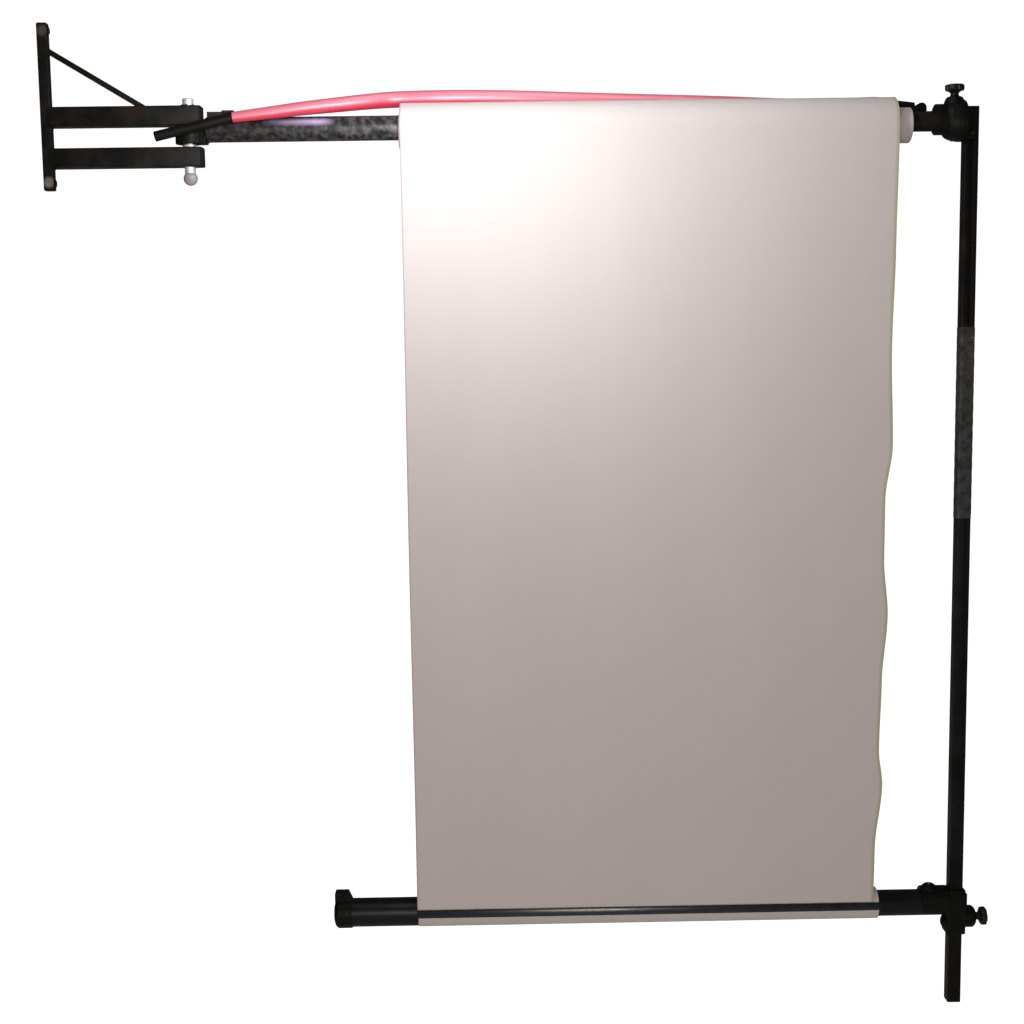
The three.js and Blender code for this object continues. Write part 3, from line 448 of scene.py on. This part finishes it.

# ---------------------------------------------------------------- knuckle and boom
# The knuckle is a cast barrel with bronze bushings. The boom tube is welded to its plate. Toward the roll
# its black carries painted grey glare mixed with rub marks from the cores, and a painted reflection of
# the pipe. A thinner spigot slides into the far end.


def cast_copy(node, body, slot, material, voxel, rounds=3):
    """The CAD shape with the soft corners and fillets of a casting."""
    bm = merged_copy(node)
    rough_mesh = bpy.data.meshes.new(node + "_rough")
    bm.to_mesh(rough_mesh)
    bm.free()
    holder = bpy.data.objects.new(node + "_rough", rough_mesh)
    scene.collection.objects.link(holder)
    skin = holder.modifiers.new("skin", "REMESH")
    skin.mode = "VOXEL"
    skin.voxel_size = voxel
    ease = holder.modifiers.new("ease", "SMOOTH")
    ease.factor = 0.5
    ease.iterations = rounds
    shape = bpy.data.meshes.new_from_object(holder.evaluated_get(bpy.context.evaluated_depsgraph_get()))
    bpy.data.objects.remove(holder)
    bm = bmesh.new()
    bm.from_mesh(shape)
    made = new_piece(node + "_piece", bm, body, slot, material, node)
    made.data.set_sharp_from_angle(angle=math.radians(70))
    return made


bushing_bronze = finish_material("bushing_bronze", (0.3, 0.18, 0.08), (0.42, 0.28, 0.13),
                                 (0.6, 0.45, 0.25), rough=(0.3, 0.5), metallic=1.0, bump=0.05)
cast_copy("pivot_knuckle", "boom", "black_paint", satin_black, 0.0008)
for bushing in ("pivot_bushing_lower", "pivot_bushing_upper"):
    eased_copy(bushing, "boom", "bronze", bushing_bronze, 0.0003)


boom_low, boom_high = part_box("boom_tube")
boom_r = (boom_high.z - boom_low.z) / 2
boom_z = (boom_high.z + boom_low.z) / 2


def boom_paint_material():
    """Satin black at the knuckle. From where the cores go on toward the roll, a mottled grey is painted
    in; it is painted glare as well as paint rubbed by the cores.
    One long pale purple streak is a painted reflection of the pipe and the sheet above it."""
    material = finish_material("boom_paint", (0.004, 0.004, 0.0045), (0.008, 0.0075, 0.0078),
                               (0.1, 0.09, 0.09), rough=(0.3, 0.5), specular=0.3, blotch=75.0,
                               scratch=0.8)
    tree = material.node_tree
    shader = tree.nodes["Principled BSDF"]
    group = next(n for n in tree.nodes if n.type == "GROUP")
    painted = shader.inputs["Base Color"].links[0].from_socket
    place = tree.nodes.new("ShaderNodeTexCoord").outputs["Object"]
    along = tree.nodes.new("ShaderNodeSeparateXYZ")
    tree.links.new(place, along.inputs[0])
    # Painted glare mixed with rub marks: a mottled grey that grows from x 0.42 toward the roll and the
    # key lamp.
    painted_glare_and_rub_ramp = spread(tree, along.outputs["X"], 0.42, 0.7)
    patches = spread(tree, group.outputs["Blotch"], 0.4, 0.6, 0.25, 1.0)
    mask = arithmetic(tree, "MULTIPLY", painted_glare_and_rub_ramp, patches)
    grey = blend_colour(tree, spread(tree, group.outputs["Blotch"], 0.42, 0.68), (0.03, 0.026, 0.028),
                        (0.11, 0.1, 0.103))
    mottled = blend_colour(tree, mask, painted, grey)
    # Painted reflection of the red pipe and the sheet: a long pale purple streak along the upper side of
    # the boom.
    painted_reflection_start = spread(tree, along.outputs["X"], 0.44, 0.54)
    painted_reflection_end = spread(tree, along.outputs["X"], 0.585, 0.555)
    painted_reflection_foot = spread(tree, along.outputs["Z"], boom_z + 0.002, boom_z + 0.010)
    painted_reflection_top = spread(tree, along.outputs["Z"], boom_z + 0.020, boom_z + 0.013)
    lengthwise = arithmetic(tree, "MULTIPLY", painted_reflection_start, painted_reflection_end)
    crosswise = arithmetic(tree, "MULTIPLY", painted_reflection_foot, painted_reflection_top)
    painted_reflection = arithmetic(tree, "MULTIPLY", arithmetic(tree, "MULTIPLY", lengthwise, crosswise), 0.8)
    tree.links.new(blend_colour(tree, painted_reflection, mottled, (0.5, 0.38, 0.62)), shader.inputs["Base Color"])
    return material


boom_paint = boom_paint_material()
boom_axis = (0, 0, boom_z)
steel_wall = 0.003
boom_profile = tube_profile(boom_r, boom_r - steel_wall, boom_low.x, boom_high.x)
new_piece("boom_tube_piece", turned(boom_profile, boom_axis, steps=72), "boom", "black_paint",
          boom_paint, "boom_tube")
weld_r = boom_r * 0.985
weld_circle = [(boom_low.x - 0.0002, math.cos(a) * weld_r, boom_z + math.sin(a) * weld_r)
               for a in [i * math.tau / 40 for i in range(40)]]
weld_bead("weld_boom_plate", weld_circle, 0.0016, "boom")
eased_copy("boom_reducer", "boom", "black_plastic", black_moulding, 0.0005)
spigot_low, spigot_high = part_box("boom_spigot")
spigot_r = (spigot_high.z - spigot_low.z) / 2
new_piece("boom_spigot_piece",
          turned(tube_profile(spigot_r, spigot_r - steel_wall, spigot_low.x, spigot_high.x), boom_axis,
                 steps=64), "boom", "black_paint", post_black, "boom_spigot")
eased_copy("spigot_screw", "boom", "bright_steel", zinc_plate, 0.0003)

# ---------------------------------------------------------------- bowed pipe and its stubs
# A springy tapered plastic pipe, glossy red, pushed onto a thin steel stub at each end. It bows
# over the top and back of the roll. The left stub is welded to a small saddle on the boom, and the
# right one goes through a lug on the spigot.
roll_low, roll_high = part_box("sheet_roll")
roll_z = (roll_low.z + roll_high.z) / 2
roll_r = (roll_high.z - roll_low.z) / 2
for side in ("left", "right"):
    cast_copy(f"pipe_stub_{side}", "boom", "black_paint", satin_black, 0.0006, 2)
eased_copy("pipe_saddle_left", "boom", "black_paint", satin_black, 0.0012, 3)
eased_copy("pipe_lug_right", "boom", "black_paint", post_black, 0.0012, 3)

pipe_end_r, pipe_middle_r, pipe_taper, pipe_wall = 0.010, 0.0159, 0.315, 0.0016
roll_gap, plug_grip = 0.0013, 0.020
left_mouth, right_mouth = Vector((0.383, -0.036, -0.0285)), Vector((1.709, 0.046, -0.0084))


def pipe_radius(x):
    from_end = min(x - left_mouth.x, right_mouth.x - x)
    share = min(max(from_end / pipe_taper, 0), 1)
    return pipe_end_r + (pipe_middle_r - pipe_end_r) * share ** 0.7


def over_roll(x, height):
    clear = roll_r + pipe_radius(x) + roll_gap
    return Vector((x, math.sqrt(max(clear * clear - height * height, 0.0004)), roll_z + height))


bow_start, bow_end = Vector((0.456, -0.028, -0.0193)), over_roll(1.672, 0.0514)


def past(mouth, toward, distance):
    return mouth + (toward - mouth).normalized() * distance


pipe_knots = [
    past(left_mouth, bow_start, 0.0003), past(left_mouth, bow_start, plug_grip),
    past(left_mouth, bow_start, plug_grip + 0.014), bow_start,
    Vector((0.515, -0.020, -0.0112)), Vector((0.592, -0.005, -0.0016)),
    Vector((0.645, 0.009, 0.0054)), over_roll(0.698, 0.0663), over_roll(0.790, 0.0674),
    over_roll(0.910, 0.0664), over_roll(1.111, 0.0606), over_roll(1.313, 0.0546),
    over_roll(1.475, 0.0491), over_roll(1.600, 0.0490), bow_end,
    past(right_mouth, bow_end, plug_grip), past(right_mouth, bow_end, 0.0003),
]


def bow_between(p0, p1, p2, p3, t):
    """A point on the smooth bow between p1 and p2, spaced by the square roots of the gaps."""
    d0, d1, d2 = ((b - a).length ** 0.5 for a, b in ((p0, p1), (p1, p2), (p2, p3)))
    out1 = ((p1 - p0) / d0 - (p2 - p0) / (d0 + d1) + (p2 - p1) / d1) * d1
    out2 = ((p2 - p1) / d1 - (p3 - p1) / (d1 + d2) + (p3 - p2) / d2) * d1
    bend = 3 * (p2 - p1) - 2 * out1 - out2
    twist = 2 * (p1 - p2) + out1 + out2
    return p1 + out1 * t + bend * t * t + twist * t ** 3


def bow_line(knots, per_gap):
    ends = [2 * knots[0] - knots[1], *knots, 2 * knots[-1] - knots[-2]]
    line = []
    for i in range(len(knots) - 1):
        line += [bow_between(*ends[i:i + 4], k / per_gap) for k in range(per_gap)]
    return line + [knots[-1]]


pipe_curve = bpy.data.curves.new("bow_pipe_line", "CURVE")
pipe_curve.dimensions = "3D"
pipe_curve.bevel_depth = 1.0
pipe_curve.bevel_resolution = 14
pipe_curve.use_fill_caps = False
pipe_spline = pipe_curve.splines.new("POLY")
pipe_line = bow_line(pipe_knots, 12)
pipe_spline.points.add(len(pipe_line) - 1)
for point, place in zip(pipe_spline.points, pipe_line):
    point.co = (*place, 1)
    point.radius = pipe_radius(place.x)
pipe_holder = bpy.data.objects.new("bow_pipe_line", pipe_curve)
scene.collection.objects.link(pipe_holder)
pipe_shape = bpy.data.meshes.new_from_object(
    pipe_holder.evaluated_get(bpy.context.evaluated_depsgraph_get()))
bpy.data.objects.remove(pipe_holder)
pipe_bm = bmesh.new()
pipe_bm.from_mesh(pipe_shape)
bmesh.ops.recalc_face_normals(pipe_bm, faces=pipe_bm.faces)
bmesh.ops.solidify(pipe_bm, geom=pipe_bm.faces[:], thickness=pipe_wall)


def pipe_plastic_material():
    """Extruded plastic, deep pink-red, with a paler pink painted highlight where it faces up."""
    material = finish_material("pipe_plastic", (0.56, 0.016, 0.055), (0.68, 0.035, 0.085),
                               (0.8, 0.3, 0.32), rough=(0.42, 0.52), specular=1.0, blotch=9.0,
                               bump=0.02, edge=0.0, scratch=0.25, coat=0.5)
    tree = material.node_tree
    shader = tree.nodes["Principled BSDF"]
    shader.inputs["Coat Roughness"].default_value = 0.35
    fresh = shader.inputs["Base Color"].links[0].from_socket
    # Painted highlight: the colour is mixed toward pale pink where the surface faces up.
    facing = tree.nodes.new("ShaderNodeSeparateXYZ")
    tree.links.new(tree.nodes.new("ShaderNodeNewGeometry").outputs["Normal"], facing.inputs[0])
    painted_top_highlight = spread(tree, facing.outputs["Z"], -0.5, 0.3, 0.0, 0.4)
    tree.links.new(blend_colour(tree, painted_top_highlight, fresh, (0.7, 0.3, 0.38)), shader.inputs["Base Color"])
    return material


new_piece("bow_pipe_piece", pipe_bm, "boom", "red_pipe", pipe_plastic_material(), "bow_pipe")

# ---------------------------------------------------------------- core and wound sheet
# A spiral-wound cardboard core hangs on the boom. The sheet is wound on it in many turns, a little
# uneven at the ends, and the core stands out past it on the right.


def core_board_material():
    """Pale mauve-grey board with the slanting butt seam of its paper strips."""
    material = finish_material("core_board", (0.47, 0.42, 0.44), (0.58, 0.53, 0.54), (0.35, 0.3, 0.27),
                               rough=(0.8, 0.95), specular=0.2, blotch=30.0, bump=0.12, edge=0.5,
                               scratch=0.15)
    tree = material.node_tree
    shader = tree.nodes["Principled BSDF"]
    plain = shader.inputs["Base Color"].links[0].from_socket
    place = tree.nodes.new("ShaderNodeTexCoord").outputs["Object"]
    slant = node_of(tree, "ShaderNodeMapping", Rotation=(0.0, 0.0, 0.6))
    tree.links.new(place, slant.inputs["Vector"])
    seam = node_of(tree, "ShaderNodeTexWave", Scale=5.2, Distortion=0.3)
    tree.links.new(slant.outputs[0], seam.inputs["Vector"])
    line = spread(tree, seam.outputs["Fac"], 0.985, 1.0, 0.0, 0.5)
    tree.links.new(blend_colour(tree, line, plain, (0.3, 0.25, 0.25)), shader.inputs["Base Color"])
    return material


core_low, core_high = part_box("roll_core")
core_r = (core_high.z - core_low.z) / 2
core_wall = 0.003
core_bore = core_r - core_wall
roll_axis = (0, 0, roll_z)
new_piece("roll_core_piece", turned(tube_profile(core_r, core_bore, core_low.x, core_high.x, 0.0012),
                                    roll_axis, steps=72), "roll", "cardboard", core_board_material(),
          "roll_core")


def cloth_group():
    """A fine plain weave with faint streaks, as a mask of threads and a slow mottle."""
    group, given, out = new_group(
        "cloth", [("Threads", "NodeSocketFloat", 1400.0)],
        [("Weave", "NodeSocketFloat"), ("Mottle", "NodeSocketFloat")],
    )
    place = group.nodes.new("ShaderNodeTexCoord").outputs["Object"]
    across = node_of(group, "ShaderNodeTexWave", bands_direction="X", Distortion=0.4)
    down = node_of(group, "ShaderNodeTexWave", bands_direction="Z", Distortion=0.4)
    for wave in (across, down):
        group.links.new(place, wave.inputs["Vector"])
        group.links.new(given.outputs["Threads"], wave.inputs["Scale"])
    weave = arithmetic(group, "MULTIPLY", across.outputs["Fac"], down.outputs["Fac"])
    long_way = node_of(group, "ShaderNodeMapping", Scale=(5.0, 5.0, 1.2))
    group.links.new(place, long_way.inputs["Vector"])
    mottle = node_of(group, "ShaderNodeTexNoise", Scale=1.0, Detail=5.0, Roughness=0.55)
    group.links.new(long_way.outputs[0], mottle.inputs["Vector"])
    group.links.new(weave, out.inputs["Weave"])
    group.links.new(mottle.outputs["Fac"], out.inputs["Mottle"])
    return group


cloth = cloth_group()


def sheet_cloth_material(name, painted_edges=False):
    """Thin pale diffusion cloth, warm grey, with a dull sheen and a tight weave."""
    material = bpy.data.materials.new(name)
    material.use_nodes = True
    tree = material.node_tree
    shader = tree.nodes["Principled BSDF"]
    shader.inputs["Specular IOR Level"].default_value = 0.25
    shader.inputs["Sheen Weight"].default_value = 0.15
    group = tree.nodes.new("ShaderNodeGroup")
    group.node_tree = cloth
    colour = blend_colour(tree, spread(tree, group.outputs["Mottle"], 0.3, 0.7), (0.56, 0.505, 0.49),
                          (0.585, 0.53, 0.512))
    if painted_edges:
        flat_place = tree.nodes.new("ShaderNodeUVMap")
        flat_place.uv_map = "flat"
        across = tree.nodes.new("ShaderNodeSeparateXYZ")
        tree.links.new(flat_place.outputs[0], across.inputs[0])
        # Painted light along the sheet's edges, not hems: a thin mauve colour fringe down the left edge
        # and a pale olive rim highlight down the right.
        left_mask = spread(tree, across.outputs["X"], 0.0035, 0.001)
        right_mask = spread(tree, across.outputs["X"], 0.9915, 0.998)
        colour = blend_colour(tree, left_mask, colour, (0.42, 0.3, 0.34))
        colour = blend_colour(tree, right_mask, colour, (0.42, 0.4, 0.26))
    tree.links.new(colour, shader.inputs["Base Color"])
    tree.links.new(spread(tree, group.outputs["Weave"], 0.0, 1.0, 0.8, 0.92), shader.inputs["Roughness"])
    raised = tree.nodes.new("ShaderNodeBump")
    raised.inputs["Strength"].default_value = 0.12
    raised.inputs["Distance"].default_value = 0.0004
    tree.links.new(group.outputs["Weave"], raised.inputs["Height"])
    tree.links.new(raised.outputs["Normal"], shader.inputs["Normal"])
    return material


sheet_cloth = sheet_cloth_material("sheet_cloth")
turns = 9
inner = core_r + 0.0003
layer = (roll_r - inner) / turns
wound = []
for i in range(turns + 1):
    r = inner + layer * i
    inset = 0.0007 * math.sin(i * 2.4)
    wound.append((r - 0.0004 if i else r, roll_low.x + 0.0012 + inset))
    if i < turns:
        wound.append((r + layer * 0.5, roll_low.x + 0.0002))
right_side = [(r, roll_high.x - (x - roll_low.x)) for r, x in reversed(wound)]
new_piece("sheet_roll_piece", turned(wound + right_side, roll_axis, steps=96), "roll", "sheet",
          sheet_cloth, "sheet_roll")

# ---------------------------------------------------------------- hanging post
# A square steel tube with push-in caps. The middle stretch is bound with dull grey cloth tape. A
# cast clamp carries it on the spigot and locks with a fluted knob.
eased_copy("post", "hanging_post", "black_paint", post_black, 0.0005)
for cap in ("post_cap_top", "post_cap_bottom"):
    eased_copy(cap, "hanging_post", "black_plastic", black_moulding, 0.0005)

tape_low, tape_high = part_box("post_tape_sleeve")
tape_half = (tape_high.x - tape_low.x) / 2
tape_x = (tape_high.x + tape_low.x) / 2
tape_pitch, tape_rows = 0.030, 200


def tape_ring_point(angle):
    """A point on a rounded square, by its angle."""
    c, s = math.cos(angle), math.sin(angle)
    power = 9.0
    reach = (abs(c) ** power + abs(s) ** power) ** (-1 / power)
    return Vector((c * reach, s * reach))


tape_bm = bmesh.new()
tape_ring = [tape_ring_point(i * math.tau / 48) for i in range(48)]
loop_verts = [tape_bm.verts.new((0, 0, 0)) for _ in tape_ring]
loop_edges = [tape_bm.edges.new((a, b)) for a, b in zip(loop_verts, loop_verts[1:] + loop_verts[:1])]
rows = [loop_verts]
for row in range(tape_rows):
    grown = bmesh.ops.extrude_edge_only(tape_bm, edges=loop_edges)["geom"]
    fresh = [g for g in grown if isinstance(g, bmesh.types.BMVert)]
    loop_edges = [g for g in grown if isinstance(g, bmesh.types.BMEdge)
                  and all(v in set(fresh) for v in g.verts)]
    rows.append(fresh)
for row, ring_verts in enumerate(rows):
    z = tape_low.z + (tape_high.z - tape_low.z) * row / tape_rows
    for i, vert in enumerate(ring_verts):
        step = ((z / tape_pitch) + i / len(ring_verts)) % 1.0
        lap = 0.00025 if step < 0.55 else 0.0
        fray = 0.0008 * noise.noise(Vector((i * 0.4, row * 0.01, 3.0))) if row in (0, tape_rows) else 0
        side = tape_ring[i] * (tape_half - 0.0003 + lap)
        vert.co = (tape_x + side.x, side.y, z + fray)
bmesh.ops.recalc_face_normals(tape_bm, faces=tape_bm.faces)
bmesh.ops.solidify(tape_bm, geom=tape_bm.faces[:], thickness=0.0006)
tape_cloth = finish_material("tape_cloth", (0.022, 0.021, 0.02), (0.055, 0.052, 0.05),
                             (0.16, 0.15, 0.14), rough=(0.7, 0.9), specular=0.25, blotch=55.0,
                             grain=1800.0, bump=0.25, edge=0.4, scratch=0.3)
new_piece("post_tape_piece", tape_bm, "hanging_post", "tape", tape_cloth, "post_tape_sleeve")

cast_black = finish_material("cast_black", (0.0012, 0.0016, 0.0016), (0.0028, 0.003, 0.0028),
                             (0.02, 0.016, 0.014), rough=(0.4, 0.6), specular=0.15, blotch=40.0,
                             grain=1200.0, bump=0.2)
cast_copy("upper_clamp", "hanging_post", "black_cast", cast_black, 0.0008)
eased_copy("upper_clamp_liner", "hanging_post", "black_plastic", black_moulding, 0.0003)
eased_copy("clamp_cross_bolt", "hanging_post", "black_paint", post_black, 0.0004)
eased_copy("clamp_cross_nut", "hanging_post", "black_paint", post_black, 0.0004)

# ---------------------------------------------------------------- lock knobs
# Fluted black mouldings pressed on a steel screw; each screw pushes a bronze pad on the tube it
# locks. There is one on the spigot's clamp and one on the sliding clamp.
knob_moulding = finish_material("knob_moulding", (0.005, 0.0055, 0.0048), (0.011, 0.0115, 0.01),
                                (0.03, 0.03, 0.028), rough=(0.35, 0.5), specular=0.3, edge=0.4)
for side in ("upper", "lower"):
    cast_copy(f"{side}_lock_knob", f"{side}_knob", "black_plastic", knob_moulding, 0.0004)
    eased_copy(f"{side}_lock_screw", f"{side}_knob", "bright_steel", zinc_plate, 0.0003)
    eased_copy(f"{side}_lock_pad", f"{side}_pad", "bronze", bushing_bronze, 0.0003)

# ---------------------------------------------------------------- sliding clamp and lower arm
# The sliding clamp is cast in one with its arm collar and runs on a plastic liner. The arm is a
# black anodised tube with a take-up tube over it, held by a cast stop at the free end.
cast_copy("lower_clamp", "lower_arm", "black_cast", cast_black, 0.001, 12)
eased_copy("lower_clamp_liner", "lower_arm", "black_plastic", black_moulding, 0.0003)
eased_copy("collar_screw", "lower_arm", "bright_steel", zinc_plate, 0.0003)
tube_gloss = finish_material("tube_gloss", (0.0006, 0.0008, 0.0014), (0.0014, 0.0018, 0.003),
                             (0.02, 0.02, 0.024), rough=(0.36, 0.42), specular=0.24, blotch=25.0,
                             bump=0.01, edge=0.3, scratch=0.0)
arm_low, arm_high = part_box("arm_tube")
arm_r = (arm_high.z - arm_low.z) / 2
arm_z = (arm_high.z + arm_low.z) / 2
arm_axis = (0, 0, arm_z)
arm_wall, sliding_gap, wrap_wall = 0.0025, 0.0003, 0.001
new_piece("arm_tube_piece", turned(tube_profile(arm_r, arm_r - arm_wall, arm_low.x, arm_high.x),
                                   arm_axis, steps=72), "lower_arm", "black_aluminium", tube_gloss,
          "arm_tube")
take_low, take_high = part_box("take_up_tube")
take_r = (take_high.z - take_low.z) / 2
take_profile = tube_profile(take_r, arm_r + sliding_gap, take_low.x, take_high.x)
new_piece("take_up_tube_piece", turned(take_profile, arm_axis, steps=72), "lower_arm",
          "black_aluminium", tube_gloss, "take_up_tube")
cast_copy("arm_end_stop", "lower_arm", "black_cast", cast_black, 0.0007)

# ---------------------------------------------------------------- hanging sheet
# The roll's outermost turn comes over its top and front and hangs to the lower arm, where it is
# wound on the take-up tube and a black batten strip clips it down. It hangs nearly flat; its right
# edge wanders a little, with faint ripples above the batten.
wrap_low, wrap_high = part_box("sheet_wrap")
wrap_r = (wrap_high.z - wrap_low.z) / 2
sheet_low, sheet_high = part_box("hanging_sheet")
sheet_top, sheet_bottom = sheet_high.z, sheet_low.z
top_y, bottom_y = -(roll_r + 0.0006), -(wrap_r + 0.0009)
over_angle = math.radians(100)  # how far the outermost turn is followed up over the roll
over_length, hang_length = -top_y * over_angle, sheet_top - sheet_bottom
right_edge = [  # height of a place on the edge, and where it is
    (sheet_top, 1.694), (-0.304, 1.691), (-0.501, 1.686), (-0.691, 1.692), (-0.803, 1.6785),
    (-0.926, 1.6785), (-1.040, 1.688), (-1.180, 1.678), (-1.324, 1.675), (-1.399, 1.683),
    (-1.539, 1.670), (sheet_bottom, 1.669),
]


def edge_at(z):
    for (z0, x0), (z1, x1) in zip(right_edge, right_edge[1:]):
        if z >= z1:
            t = max((z0 - z) / (z0 - z1), 0)
            t = t * t * (3 - 2 * t)
            return x0 + (x1 - x0) * t
    return right_edge[-1][1]


sheet_bm = bmesh.new()
sheet_columns, sheet_rows = 96, 240
bmesh.ops.create_grid(sheet_bm, x_segments=sheet_columns, y_segments=sheet_rows, size=0.5)
flat_layer = sheet_bm.loops.layers.uv.new("flat")
flat_of = {vert: (vert.co.x + 0.5, 0.5 - vert.co.y) for vert in sheet_bm.verts}
for vert, (u, along) in flat_of.items():
    below = along * (over_length + hang_length) - over_length
    v = max(below / hang_length, 0)
    angle = max(-below / over_length, 0) * over_angle
    z = roll_z - top_y * math.sin(angle) if below < 0 else sheet_top - below
    y = top_y * math.cos(angle) if below < 0 else top_y + (bottom_y - top_y) * v
    left = sheet_low.x - 0.0012 + 0.0006 * math.sin(v * 9)
    x = left + (edge_at(z) - left) * u
    held = math.sin(math.pi * min(v, 1))
    swell = 0.0014 * held * noise.noise(Vector((u * 3.1, v * 2.3, 0.0)))
    flute = 0.0009 * v * (1 - v) * 4 * math.sin(u * 23 + 2 * noise.noise(Vector((u * 4, v * 2, 5.0))))
    loose = 0.004 * held * max(0.0, (u - 0.93) / 0.07) ** 2 * noise.noise(Vector((2.0, v * 9, 1.0)))
    ripple = 0.0005 * math.exp(-((v - 0.955) / 0.018) ** 2) * math.sin(v * 520 + 3 * u)
    vert.co = (x, y + swell + flute + loose + ripple, z)
for face in sheet_bm.faces:
    for corner in face.loops:
        u, v = flat_of[corner.vert]
        corner[flat_layer].uv = (u, 1 - v)
bmesh.ops.recalc_face_normals(sheet_bm, faces=sheet_bm.faces)
cloth_thickness = 0.0005
bmesh.ops.solidify(sheet_bm, geom=sheet_bm.faces[:], thickness=cloth_thickness)
hanging = new_piece("hanging_sheet_piece", sheet_bm, None, "sheet",
                    sheet_cloth_material("sheet_cloth_painted_edges", painted_edges=True), "hanging_sheet")

wrap_profile = tube_profile(wrap_r, wrap_r - wrap_wall, wrap_low.x, wrap_high.x, rim=0.0003)
wrap_bm = turned(wrap_profile, arm_axis, steps=96)
bmesh.ops.subdivide_edges(wrap_bm, edges=[e for e in wrap_bm.edges if e.calc_length() > 0.5], cuts=60,
                          use_grid_fill=True)
for vert in wrap_bm.verts:
    spoke = Vector((0, vert.co.y, vert.co.z - arm_z))
    reach = spoke.length
    over_top = max(0.0, spoke.z / reach)
    slack = over_top ** 2 * (0.0008 + 0.0035 * max(0.0, (vert.co.x - 1.45) / 0.24) ** 2)
    slack *= 0.7 + 0.6 * noise.noise(Vector((vert.co.x * 9, 0.0, 2.0)))
    if reach > wrap_r - 0.0012:
        vert.co += spoke / reach * slack
new_piece("sheet_wrap_piece", wrap_bm, "lower_arm", "sheet", sheet_cloth, "sheet_wrap")
batten_moulding = finish_material("batten_moulding", (0.006, 0.007, 0.012), (0.011, 0.012, 0.019),
                                  (0.04, 0.04, 0.05), rough=(0.2, 0.34), specular=0.5, bump=0.03)
eased_copy("sheet_batten", "lower_arm", "black_plastic", batten_moulding, 0.0006)

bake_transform(hanging)
